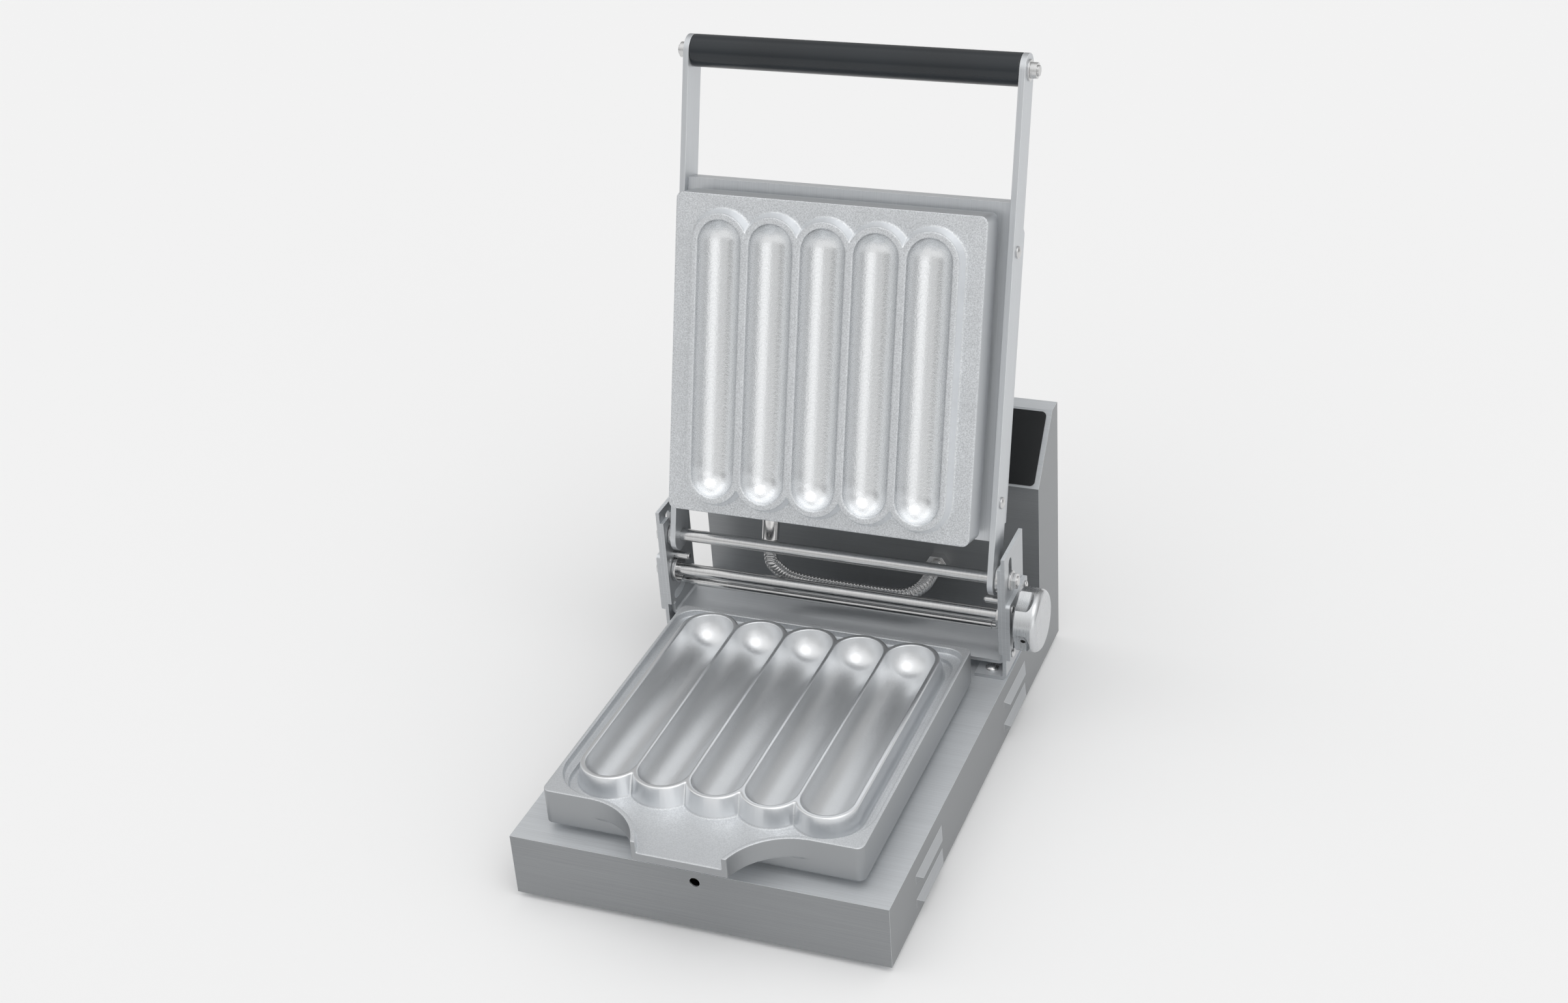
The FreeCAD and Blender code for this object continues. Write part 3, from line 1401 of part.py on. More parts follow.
def ringed(edges, stations):
    """A ruled loft through circles at the stations (distance, radius) along the edges."""
    wires, steady = [], None
    for distance, radius in stations:
        point, direction = along(edges, distance)
        if steady is None:
            steady = direction.cross(X_AXIS) if abs(direction.x) < 0.9 else direction.cross(Z_AXIS)
        steady = steady - direction * steady.dot(direction)
        steady.normalize()
        ring = Part.Circle(Vector(), Z_AXIS, radius).toShape()
        turn = Rotation(steady, direction.cross(steady), direction, "ZXY")
        ring.Placement = Placement(point, turn)
        wires.append(Part.Wire([ring]))
    return Part.makeLoft(wires, True, True)


def make_hose(label, edges, plain_first):
    """One stretch of the ribbed conduit with its bore, plain for a diameter where it meets a fitting."""
    total = sum(edge.Length for edge in edges)
    high, low, rib = D.hose_radius.number, D.hose_groove.number, D.hose_rib.number
    groove = rib / 4
    count = int((total - 2 * high - groove) / rib)
    lead = total - count * rib if plain_first else groove / 2
    stations = [(0, low)]
    for index in range(count):
        start = lead + index * rib
        stations.extend([
            (start, low), (start + groove, high), (start + 2 * groove, high), (start + 3 * groove, low)])
    stations.append((total, low))
    bore_steps = max(12, count)
    bore = [(total * step / bore_steps, D.hose_bore.number) for step in range(bore_steps + 1)]
    piece = doc.addObject("Part::Feature", label)
    piece.Shape = ringed(edges, stations).cut(ringed(edges, bore))
    piece.Placement = Placement()
    print(f"{label}: {total:.1f} mm long, {count} ribs, volume {piece.Shape.Volume:.0f} mm3, "
          f"plain tube {math.pi * (low * low - D.hose_bore.number ** 2) * total:.0f} mm3")
    node(label, piece)


make_casing()
make_rear_panel()
make_underside()
make_hinge_stand()
make_lower_plate()
make_lower_heater()
make_controls()
make_arms()
make_handle()
make_lid_shells()
make_upper_plate()
make_hinge_rod()
make_lock_shaft()
make_fittings()
lid_half, tower_half = hose_path()
make_hose("conduit_upper", lid_half, True)
make_hose("conduit_lower", tower_half, False)

doc.recompute()
for item in doc.Objects:
    if "Invalid" in item.State or "Error" in item.State:
        raise RuntimeError(f"{item.Label} failed: {item.State}")
os.makedirs("parts", exist_ok=True)
for label, piece in nodes.items():
    shape = piece.Shape
    if shape.isNull() or not shape.isValid() or not shape.Solids:
        raise RuntimeError(f"{label} has no valid solid")
    shape.exportStep(f"parts/{label}.step")
print(f"{len(nodes)} nodes, {sum(len(piece.Shape.Solids) for piece in nodes.values())} solids")
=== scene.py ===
"""Studio scene of an electric stick baker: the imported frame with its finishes, castings and hose."""

from __future__ import annotations

import json
import logging
import math
from dataclasses import dataclass
from enum import Enum
from typing import Any, Sequence

import bpy
import numpy as np
from mathutils import Matrix, Vector

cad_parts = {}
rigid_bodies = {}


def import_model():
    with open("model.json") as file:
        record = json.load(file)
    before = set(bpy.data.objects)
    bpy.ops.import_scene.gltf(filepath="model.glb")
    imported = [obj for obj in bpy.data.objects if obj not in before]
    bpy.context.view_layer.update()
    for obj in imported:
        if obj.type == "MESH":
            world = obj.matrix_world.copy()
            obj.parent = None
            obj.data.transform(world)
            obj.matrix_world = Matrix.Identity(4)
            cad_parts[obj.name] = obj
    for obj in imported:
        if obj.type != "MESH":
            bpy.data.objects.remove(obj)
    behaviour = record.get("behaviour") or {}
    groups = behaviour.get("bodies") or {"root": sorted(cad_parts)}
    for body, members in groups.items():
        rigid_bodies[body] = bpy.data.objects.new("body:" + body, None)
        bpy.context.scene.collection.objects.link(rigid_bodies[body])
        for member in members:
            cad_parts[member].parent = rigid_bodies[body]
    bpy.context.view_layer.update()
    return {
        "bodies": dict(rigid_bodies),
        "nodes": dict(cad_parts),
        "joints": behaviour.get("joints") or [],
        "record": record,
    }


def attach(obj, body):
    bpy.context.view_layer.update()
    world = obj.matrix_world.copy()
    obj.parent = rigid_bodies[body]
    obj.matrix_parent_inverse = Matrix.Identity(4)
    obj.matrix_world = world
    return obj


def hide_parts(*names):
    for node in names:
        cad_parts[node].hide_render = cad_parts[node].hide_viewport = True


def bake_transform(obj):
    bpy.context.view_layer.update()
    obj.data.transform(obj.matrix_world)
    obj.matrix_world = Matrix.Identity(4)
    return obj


LOG = logging.getLogger("stick_baker")
MM = 0.001
Colour = tuple[float, float, float]
Point = tuple[float, float, float]
Span = tuple[float, float]
Socket = bpy.types.NodeSocket

# How far the open lid leans back.
LEAN = math.radians(16.3)
# Corners nearer to each other than this are one corner.
WELD_GAP = 0.002 * MM
# The range that most of a noise lies in, and its whole range.
MIDDLE = (0.3, 0.7)
WHOLE = (0.0, 1.0)
# What a casting's mesh says of each corner.
CAST_MARKS = ("polish", "smooth", "side")


class MixKind(Enum):
    """What a mix node mixes: its data type, its sockets for the factor and both ends, and its result."""

    VALUE = ("FLOAT", (0, 2, 3), 0)
    COLOUR = ("RGBA", (0, 6, 7), 2)


class Bench:
    """A node tree with short ways to add nodes and join them."""

    def __init__(self, tree: bpy.types.NodeTree) -> None:
        """Empties the tree."""
        self.tree = tree
        tree.nodes.clear()

    def add(self, kind: str, inputs: dict[str | int, Any] | None = None, **settings: Any) -> bpy.types.Node:
        """Adds a node.

        Args:
            kind: the node's type.
            inputs: values or sockets for its inputs, by name or number.
            settings: its own properties.

        Returns:
            The new node.
        """
        node = self.tree.nodes.new(kind)
        for name, value in settings.items():
            setattr(node, name, value)
        for key, value in (inputs or {}).items():
            if isinstance(value, Socket):
                self.tree.links.new(value, node.inputs[key])
            else:
                node.inputs[key].default_value = value
        return node

    def place(self, scale: Point = (1, 1, 1), tilt: float = 0.0) -> Socket:
        """The object's own coordinates.

        Args:
            scale: how fast each axis runs.
            tilt: a turn about X in radians, taken before the scale.

        Returns:
            The vector socket.
        """
        own = self.add("ShaderNodeTexCoord").outputs["Object"]
        turned = self.add("ShaderNodeMapping", {"Vector": own, "Rotation": (tilt, 0, 0)})
        return self.add("ShaderNodeMapping", {"Vector": turned.outputs[0], "Scale": scale}).outputs[0]

    def noise(self, vector: Socket, scale: float, detail: float = 2.0, rough: float = 0.5) -> Socket:
        """Noise of a vector, from 0 to 1.

        Args:
            vector: where it is read.
            scale: its frequency.
            detail: how many octaves it has.
            rough: how strong the finer octaves are.

        Returns:
            The value socket.
        """
        inputs = {"Vector": vector, "Scale": scale, "Detail": detail, "Roughness": rough}
        return self.add("ShaderNodeTexNoise", inputs).outputs[0]

    def remap(self, value: Socket, source: Span, target: Span, smooth: bool = True) -> Socket:
        """Carries a value from one range to another.

        Args:
            value: the socket to read.
            source: its low and high ends.
            target: what they become.
            smooth: an eased way between the ends in place of a straight one.

        Returns:
            The value socket.
        """
        inputs = {0: value, 1: source[0], 2: source[1], 3: target[0], 4: target[1]}
        way = "SMOOTHSTEP" if smooth else "LINEAR"
        return self.add("ShaderNodeMapRange", inputs, interpolation_type=way).outputs[0]

    def math(self, operation: str, first: Any, second: Any = 0.0) -> Socket:
        """One sum of two values or sockets."""
        return self.add("ShaderNodeMath", {0: first, 1: second}, operation=operation).outputs[0]

    def mix(self, kind: MixKind, factor: Any, low: Any, high: Any) -> Socket:
        """Mixes two values, colours or sockets.

        Args:
            kind: what they are.
            factor: how much of the second one there is.
            low: the first one.
            high: the second one.

        Returns:
            The result's socket.
        """
        data_type, sockets, result = kind.value
        node = self.add("ShaderNodeMix", dict(zip(sockets, (factor, low, high))), data_type=data_type)
        return node.outputs[result]

    def tint(self, factor: Any, low: Any, high: Any) -> Socket:
        """A colour between two colours or sockets."""
        ends = (value if isinstance(value, Socket) else (*value, 1.0) for value in (low, high))
        return self.mix(MixKind.COLOUR, factor, *ends)

    def blend(self, factor: Any, low: Any, high: Any) -> Socket:
        """A value between two values or sockets."""
        return self.mix(MixKind.VALUE, factor, low, high)

    def bump(self, height: Socket, strength: float, depth: float) -> Socket:
        """A normal from a height, as strong as given, depth metres deep."""
        inputs = {"Height": height, "Strength": strength, "Distance": depth}
        return self.add("ShaderNodeBump", inputs).outputs[0]

    def surface(self, inputs: dict[str, Any]) -> None:
        """The shader, joined to the output."""
        shader = self.add("ShaderNodeBsdfPrincipled", inputs)
        self.add("ShaderNodeOutputMaterial", {"Surface": shader.outputs[0]})


def grey(level: float, warm: float = 0.0) -> Colour:
    """A grey, a little warmer or cooler."""
    return (level * (1 + warm), level, level * (1 - warm))


def scaled(colour: Colour, factor: float) -> Colour:
    """A colour made lighter or darker."""
    return tuple(min(1.0, channel * factor) for channel in colour)


class Grain(Enum):
    """Which way the brush marks run: how fast they change along each axis, and the way across them."""

    LEVEL = ((16, 16, 2400), (0, 0, 1))
    UPRIGHT = ((2400, 2400, 16), (1, 1, 0))
    ROUND_X = ((1500, 30, 30), (1, 0, 0))
    ROUND_Y = ((30, 1500, 30), (0, 1, 0))


class Finish:
    """What every finish has: a name, and one material made when it is first asked for."""

    name: str

    def material(self) -> bpy.types.Material:
        """The finish's material, shared by all the pieces that have it.

        Returns:
            The material.
        """
        title = f"finish_{self.name}"
        found = bpy.data.materials.get(title)
        if found is not None:
            return found
        material = bpy.data.materials.new(title)
        material.use_nodes = True
        self.lay(Bench(material.node_tree))
        return material

    def lay(self, bench: Bench) -> None:
        """Lays the finish's nodes on a bench."""
        raise NotImplementedError


@dataclass(frozen=True)
class BrushedSteel(Finish):
    """Sheet or bar with fine brush marks, which may be duller on its level faces and carry painted light
    there that makes them lighter.
    """

    name: str
    colour: Colour
    roughness: float
    grain: Grain
    tilt: float = 0.0
    marks: float = 0.1
    stretch: float = 0.7
    metal: float = 1.0
    # How much lighter the painted light makes the level faces than the walls.
    top_painted_light: float = 1.0
    dull_tops: float = 0.0
    line_octaves: float = 3.0
    line_roughness: float = 0.6
    line_range: Span = (0.25, 0.75)
    level_range: Span = (0.2, 0.6)
    cloud_scale: float = 7.0
    cloud_share: float = 0.3
    brightest: float = -0.05
    dullest: float = 0.07
    relief: float = 0.08
    relief_depth: float = 0.2 * MM

    def lay(self, bench: Bench) -> None:
        """Lays brush marks in the colour, the roughness and the normal, with gloss drawn out across them.

        Args:
            bench: where the nodes go.
        """
        scale, across = self.grain.value
        lines = self.brush(bench, scale)
        low, high = scaled(self.colour, 1 - self.marks), scaled(self.colour, 1 + self.marks)
        ways = dict(zip("XYZ", across))
        dull: Any = 0.0
        if self.grain is Grain.LEVEL:
            slow, _, fast = scale
            level = self.levelness(bench)
            lines = bench.blend(level, lines, self.brush(bench, (slow, fast, fast)))
            ways = {"Y": level, "Z": bench.math("SUBTRACT", 1.0, level)}
            # Painted light: the level faces' colour is made lighter by the top factor, while the walls keep
            # the plain colour.
            low, high = (bench.tint(level, shade, scaled(shade, self.top_painted_light)) for shade in (low, high))
            dull = bench.blend(level, 0.0, self.dull_tops)
        clouds = bench.noise(bench.place(), self.cloud_scale)
        streaks = bench.tint(bench.remap(lines, self.line_range, WHOLE, smooth=False), low, high)
        worn = bench.tint(bench.remap(clouds, MIDDLE, (0.0, self.cloud_share)), streaks, low)
        ends = (self.roughness + self.brightest, self.roughness + self.dullest)
        gloss = bench.remap(lines, MIDDLE, ends, smooth=False)
        bench.surface({
            "Base Color": worn,
            "Metallic": self.metal,
            "Roughness": bench.math("ADD", gloss, dull),
            "Anisotropic": self.stretch,
            "Tangent": bench.add("ShaderNodeCombineXYZ", ways).outputs[0],
            "Normal": bench.bump(lines, self.relief, self.relief_depth),
        })

    def brush(self, bench: Bench, scale: Point) -> Socket:
        """Brush marks that change as fast along each axis as the scale says."""
        return bench.noise(bench.place(scale, self.tilt), 1.0, self.line_octaves, self.line_roughness)

    def levelness(self, bench: Bench) -> Socket:
        """How level a face lies, from 0 for a wall to 1 for a deck.

        Args:
            bench: where the nodes go.

        Returns:
            The value socket.
        """
        facing = bench.add("ShaderNodeTexCoord").outputs["Normal"]
        upward = bench.add("ShaderNodeSeparateXYZ", {"Vector": facing}).outputs["Z"]
        return bench.remap(bench.math("ABSOLUTE", upward), self.level_range, WHOLE)


@dataclass(frozen=True)
class CastAluminium(Finish):
    """Blasted casting: the mesh's own values say where it is polished, smooth or a machined side."""

    name: str
    blasted: Colour
    polished: Colour
    smooth: Colour
    side: Colour
    grit: float
    satin: float
    octaves: float = 3.0
    speckle_scale: float = 1000.0
    speckle_roughness: float = 0.7
    speckle_range: Span = (0.3, 0.72)
    speckle_height: float = 0.5
    dark_grain: float = 0.2
    bright_grain: float = 0.16
    lump_scale: float = 480.0
    lump_roughness: float = 0.6
    cloud_scale: float = 26.0
    cloud_range: Span = (0.35, 0.7)
    cloud_share: float = 0.18
    cloud_shade: float = 0.8
    blasted_gloss: Span = (0.66, 0.5)
    satin_spread: float = 0.06
    smooth_gloss: float = 0.3
    side_gloss: float = 0.42
    polished_depth: float = 0.75
    smooth_depth: float = 0.2
    relief: float = 0.5
    relief_depth: float = 0.5 * MM

    def lay(self, bench: Bench) -> None:
        """Lays fine speckle, strongest on the blasted faces and faint on the smooth ones.

        Args:
            bench: where the nodes go.
        """
        marks = [bench.add("ShaderNodeAttribute", attribute_name=name).outputs["Fac"] for name in CAST_MARKS]
        polish, smooth, side = marks
        speckle = bench.noise(bench.place(), self.speckle_scale, self.octaves, self.speckle_roughness)
        lumps = bench.noise(bench.place(), self.lump_scale, self.octaves, self.lump_roughness)
        depth = bench.blend(polish, 1.0, self.polished_depth)
        depth = bench.blend(bench.math("MAXIMUM", smooth, side), depth, self.smooth_depth)
        height = bench.math("ADD", bench.math("MULTIPLY", speckle, self.speckle_height), lumps)
        height = bench.math("MULTIPLY", height, depth)
        bench.surface({
            "Base Color": self.shade(bench, speckle, marks),
            "Metallic": 1.0,
            "Roughness": self.gloss(bench, speckle, marks),
            "Normal": bench.bump(height, self.relief * self.grit, self.relief_depth),
        })

    def shade(self, bench: Bench, speckle: Socket, marks: Sequence[Socket]) -> Socket:
        """The colour: grains and clouds where it is blasted, and an even tone elsewhere.

        Args:
            bench: where the nodes go.
            speckle: the noise of the grains.
            marks: how polished, smooth or machined it is.

        Returns:
            The colour socket.
        """
        polish, smooth, side = marks
        dark = scaled(self.blasted, 1 - self.dark_grain * self.grit)
        bright = scaled(self.blasted, 1 + self.bright_grain * self.grit)
        grains = bench.tint(bench.remap(speckle, self.speckle_range, WHOLE), dark, bright)
        clouds = bench.noise(bench.place(), self.cloud_scale, self.octaves)
        share = bench.remap(clouds, self.cloud_range, (0.0, self.cloud_share))
        colour = bench.tint(share, grains, scaled(self.blasted, self.cloud_shade))
        colour = bench.tint(polish, colour, self.polished)
        colour = bench.tint(smooth, colour, self.smooth)
        return bench.tint(side, colour, self.side)

    def gloss(self, bench: Bench, speckle: Socket, marks: Sequence[Socket]) -> Socket:
        """The roughness: uneven where it is blasted or polished, and even elsewhere.

        Args:
            bench: where the nodes go.
            speckle: the noise of the grains.
            marks: how polished, smooth or machined it is.

        Returns:
            The value socket.
        """
        polish, smooth, side = marks
        satin = (self.satin + self.satin_spread, self.satin - self.satin_spread)
        rough = bench.remap(speckle, MIDDLE, self.blasted_gloss)
        rough = bench.blend(polish, rough, bench.remap(speckle, MIDDLE, satin))
        rough = bench.blend(smooth, rough, self.smooth_gloss)
        return bench.blend(side, rough, self.side_gloss)


@dataclass(frozen=True)
class Moulded(Finish):
    """Plastic, rubber, film or wool: a colour with a fine grain."""

    name: str
    colour: Colour
    roughness: float
    grain: float = 900.0
    relief: float = 0.12
    coat: float = 0.0
    cloud_scale: float = 18.0
    darkest: float = 0.88
    lightest: float = 1.1
    gloss_spread: float = 0.05
    relief_depth: float = 0.1 * MM

    def lay(self, bench: Bench) -> None:
        """Lays a fine moulded grain and a little unevenness of tone.

        Args:
            bench: where the nodes go.
        """
        pores = bench.noise(bench.place(), self.grain)
        clouds = bench.remap(bench.noise(bench.place(), self.cloud_scale), MIDDLE, WHOLE)
        dark, light = scaled(self.colour, self.darkest), scaled(self.colour, self.lightest)
        ends = (self.roughness - self.gloss_spread, self.roughness + self.gloss_spread)
        bench.surface({
            "Base Color": bench.tint(clouds, dark, light),
            "Roughness": bench.remap(pores, MIDDLE, ends),
            "Coat Weight": self.coat,
            "Normal": bench.bump(pores, self.relief, self.relief_depth),
        })


# The sheet and stand steels carry painted light on their level faces through the top factor.
SHEET = BrushedSteel("sheet_steel", grey(0.32, -0.03), roughness=0.42, grain=Grain.LEVEL, marks=0.12,
                     stretch=0.6, metal=0.75, top_painted_light=2.2, dull_tops=0.14)
STAND = BrushedSteel("stand_steel", grey(0.54, -0.03), roughness=0.4, grain=Grain.LEVEL,
                     stretch=0.6, metal=0.8, top_painted_light=1.5, dull_tops=0.1)
LID_SHEET = BrushedSteel("lid_steel", grey(0.66, -0.03), roughness=0.4, grain=Grain.UPRIGHT, tilt=LEAN,
                         marks=0.08, stretch=0.6, metal=0.8)
TURNED = BrushedSteel("turned_steel", grey(0.62), roughness=0.15, grain=Grain.ROUND_X,
                      marks=0.08, stretch=0.0)
FASTENER = BrushedSteel("fasteners", grey(0.66), roughness=0.26, grain=Grain.ROUND_X,
                        marks=0.05, stretch=0.0)
KNOB = BrushedSteel("turned_aluminium", grey(0.64, -0.02), roughness=0.26, grain=Grain.ROUND_X,
                    marks=0.03, stretch=0.4)
HOSE = BrushedSteel("hose_steel", grey(0.56), roughness=0.2, grain=Grain.ROUND_X,
                    marks=0.05, stretch=0.0)
FITTING = BrushedSteel("fitting_nickel", grey(0.75, 0.01), roughness=0.16, grain=Grain.ROUND_Y,
                       marks=0.04, stretch=0.0)
SHEATH = BrushedSteel("element_sheath", grey(0.3, 0.03), roughness=0.5, grain=Grain.ROUND_Y)
BRONZE = BrushedSteel("bush_bronze", (0.5, 0.35, 0.17), roughness=0.3, grain=Grain.ROUND_X)
# Painted edge highlight: a near-white finish for the bevels, standing in for the light that the edges catch.
PAINTED_EDGE_HIGHLIGHT = BrushedSteel("painted_edge_highlight", grey(0.9, -0.02), roughness=0.3, grain=Grain.ROUND_X,
                           marks=0.05, stretch=0.0, metal=0.8)
LOWER_CAST = CastAluminium("lower_cast_aluminium", blasted=grey(0.74, -0.025), polished=grey(0.78, -0.015),
                           smooth=grey(0.86, -0.015), side=grey(0.38, -0.03), grit=0.4, satin=0.38)
UPPER_CAST = CastAluminium("upper_cast_aluminium", blasted=grey(0.74, -0.025), polished=grey(0.82, -0.015),
                           smooth=grey(0.92, -0.015), side=grey(0.6, -0.03), grit=1.0, satin=0.25)
GRIP = Moulded("grip", (0.012, 0.016, 0.02), roughness=0.22, grain=500.0, relief=0.02)
RUBBER = Moulded("foot_rubber", grey(0.03), roughness=0.7)
FILM = Moulded("overlay_film", (0.008, 0.009, 0.01), roughness=0.34, grain=1600.0, relief=0.05)
GLASS = Moulded("display_glass", (0.02, 0.004, 0.004), roughness=0.12, grain=200.0, relief=0.0, coat=0.5)
PLASTIC = Moulded("control_plastic", grey(0.035), roughness=0.45)
ROCKER = Moulded("rocker_red", (0.42, 0.02, 0.018), roughness=0.28, grain=700.0, relief=0.05, coat=0.2)
KEY = Moulded("key_grey", (0.36, 0.37, 0.38), roughness=0.42)
BOARD = Moulded("circuit_board", (0.02, 0.14, 0.06), roughness=0.4)
WOOL = Moulded("mineral_wool", (0.6, 0.55, 0.42), roughness=0.95, grain=300.0, relief=0.8)


@dataclass(frozen=True)
class Edge:
    """A small round on the edges of a CAD piece that are sharper than an angle, which may carry a painted
    edge highlight.
    """

    width: float
    segments: int = 2
    bright: bool = False
    angle: float = math.radians(32)
    flatness: float = math.radians(0.3)
    face_weight: int = 60

    def soften(self, piece: bpy.types.Object) -> None:
        """Rounds a piece's edges with modifiers, so that its own mesh stays as it is.

        Args:
            piece: the CAD piece, which has its finish already.
        """
        weld = piece.modifiers.new("weld", "WELD")
        weld.merge_threshold = WELD_GAP
        flat = piece.modifiers.new("flat", "DECIMATE")
        flat.decimate_type = "DISSOLVE"
        flat.angle_limit = self.flatness
        bevel = piece.modifiers.new("edge", "BEVEL")
        bevel.width = self.width
        bevel.segments = self.segments
        bevel.limit_method = "ANGLE"
        bevel.angle_limit = self.angle
        # The bevel faces get the painted edge highlight.
        if self.bright:
            piece.data.materials.append(PAINTED_EDGE_HIGHLIGHT.material())
            bevel.material = len(piece.data.materials) - 1
        smooth = piece.modifiers.new("smooth", "NODES")
        smooth.node_group = smooth_group()
        normals = piece.modifiers.new("normals", "WEIGHTED_NORMAL")
        normals.weight = self.face_weight


def smooth_group() -> bpy.types.NodeTree:
    """The node group that shades every face smooth, made once.

    Returns:
        The group.
    """
    title = "smooth_faces"
    found = bpy.data.node_groups.get(title)
    if found is not None:
        return found
    group = bpy.data.node_groups.new(title, "GeometryNodeTree")
    group.interface.new_socket("Geometry", in_out="INPUT", socket_type="NodeSocketGeometry")
    group.interface.new_socket("Geometry", in_out="OUTPUT", socket_type="NodeSocketGeometry")
    start = group.nodes.new("NodeGroupInput")
    shade = group.nodes.new("GeometryNodeSetShadeSmooth")
    end = group.nodes.new("NodeGroupOutput")
    group.links.new(start.outputs[0], shade.inputs[0])
    group.links.new(shade.outputs[0], end.inputs[0])
    return group


# Folded and cut edges carry the painted edge highlight on their bevels.
FOLDED = Edge(0.6 * MM, segments=3, bright=True, angle=math.radians(14))
CUT = Edge(0.45 * MM, bright=True)
ROUNDED = Edge(1.2 * MM, segments=3)
TURNED_RIM = Edge(0.6 * MM, segments=3)
CRISP = Edge(0.35 * MM)
FINE = Edge(0.2 * MM)


@dataclass
class SubAssembly:
    """Pieces of the frame that are dressed together."""

    frame: dict[str, Any]

    def dress(self, names: str, finish: Finish, edge: Edge | None = None) -> None:
        """Gives CAD pieces their finish.

        Args:
            names: the pieces, with spaces between them.
            finish: what they are made of.
            edge: how their edges are rounded, if they are.
        """
        for name in names.split():
            piece = self.frame["nodes"][name]
            piece.data.materials.clear()
            piece.data.materials.append(finish.material())
            if edge is not None:
                edge.soften(piece)
            LOG.info("dressed %s in %s", name, finish.name)

    def add_piece(self, name: str, mesh: bpy.types.Mesh, finish: Finish, node: str,
                  slot: str) -> bpy.types.Object:
        """Makes a piece from a mesh and puts it in place of a CAD piece.

        Args:
            name: the piece's name.
            mesh: its mesh.
            finish: what it is made of.
            node: the CAD piece that it replaces.
            slot: the record's material slot; not used.

        Returns:
            The new object, shaded smooth.
        """
        mesh.name = name
        mesh.materials.clear()
        mesh.materials.append(finish.material())
        mesh.shade_smooth()
        piece = bpy.data.objects.new(name, mesh)
        bpy.context.scene.collection.objects.link(piece)
        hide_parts(node)
        LOG.info("made %s with %d faces", name, len(mesh.polygons))
        return piece


@dataclass
class Casing(SubAssembly):
    """The sheet-metal base with its tower, feet and inner parts."""

    def build(self) -> None:
        """Dresses the casing and the inner parts, those of the lid among them."""
        self.dress("base_housing", SHEET, FOLDED)
        self.dress("rear_panel bottom_cover", SHEET, CRISP)
        self.dress("rear_panel_screws foot_screws board_standoffs", FASTENER, FINE)
        self.dress("rubber_feet", RUBBER, CRISP)
        self.dress("power_inlet", PLASTIC, CRISP)
        self.dress("power_relay terminal_block", PLASTIC)
        self.dress("control_board", BOARD)
        self.dress("base_insulation lid_insulation", WOOL)
        self.dress("lower_heating_element upper_heating_element", SHEATH)
        self.dress("lower_platen upper_platen", LOWER_CAST)
        self.dress("platen_posts plate_dowels", TURNED)


@dataclass
class HingeStand(SubAssembly):
    """Brackets, channel, rods, shaft and knob behind the plates."""

    def build(self) -> None:
        """Dresses the stand and what turns in it."""
        self.dress("left_hinge_bracket right_hinge_bracket hinge_channel", STAND, CUT)
        self.dress("left_bearing_plate right_bearing_plate crank_levers", STAND, CUT)
        self.dress("hinge_rod rod_spacers stop_pins", TURNED, CRISP)
        self.dress("lock_shaft shaft_collars tie_bar tie_bar_sleeve", TURNED, CRISP)
        self.dress("bracket_screws bearing_plate_screws hinge_rod_nuts shaft_end_nut", FASTENER, FINE)
        self.dress("shaft_bushes", BRONZE)
        self.dress("adjusting_knob", KNOB, TURNED_RIM)
        self.dress("knob_set_screw", PLASTIC)


@dataclass
class ControlPanel(SubAssembly):
    """The slanted panel with its film, switch, window and keys."""

    def build(self) -> None:
        """Dresses the panel."""
        self.dress("control_overlay", FILM, FINE)
        self.dress("display_window", GLASS, FINE)
        self.dress("switch_housing", PLASTIC, CRISP)
        self.dress("power_rocker", ROCKER, CRISP)
        self.dress("control_key_1 control_key_2 control_key_3", KEY, CRISP)


@dataclass
class Lid(SubAssembly):
    """Arms, handle, tray and rear cover."""

    def build(self) -> None:
        """Dresses the lid."""
        self.dress("left_lid_arm right_lid_arm lid_tray", LID_SHEET, CUT)
        self.dress("lid_rear_cover", LID_SHEET, CRISP)
        self.dress("handle_grip", GRIP, ROUNDED)
        self.dress("handle_rod", TURNED, FINE)
        self.dress("handle_nuts arm_screws", FASTENER, FINE)


def ramp(value: np.ndarray, width: float) -> np.ndarray:
    """Rises from 0 to 1 while a value goes from 0 to a width."""
    return np.clip(value / width, 0.0, 1.0)


@dataclass(frozen=True)
class Ridge:
    """The form round a plate's cavities: their middle along it, its levels and its radii from their axes."""

    middle: float
    top: float
    base: float
    radius: float
    crest: float
    foot: float


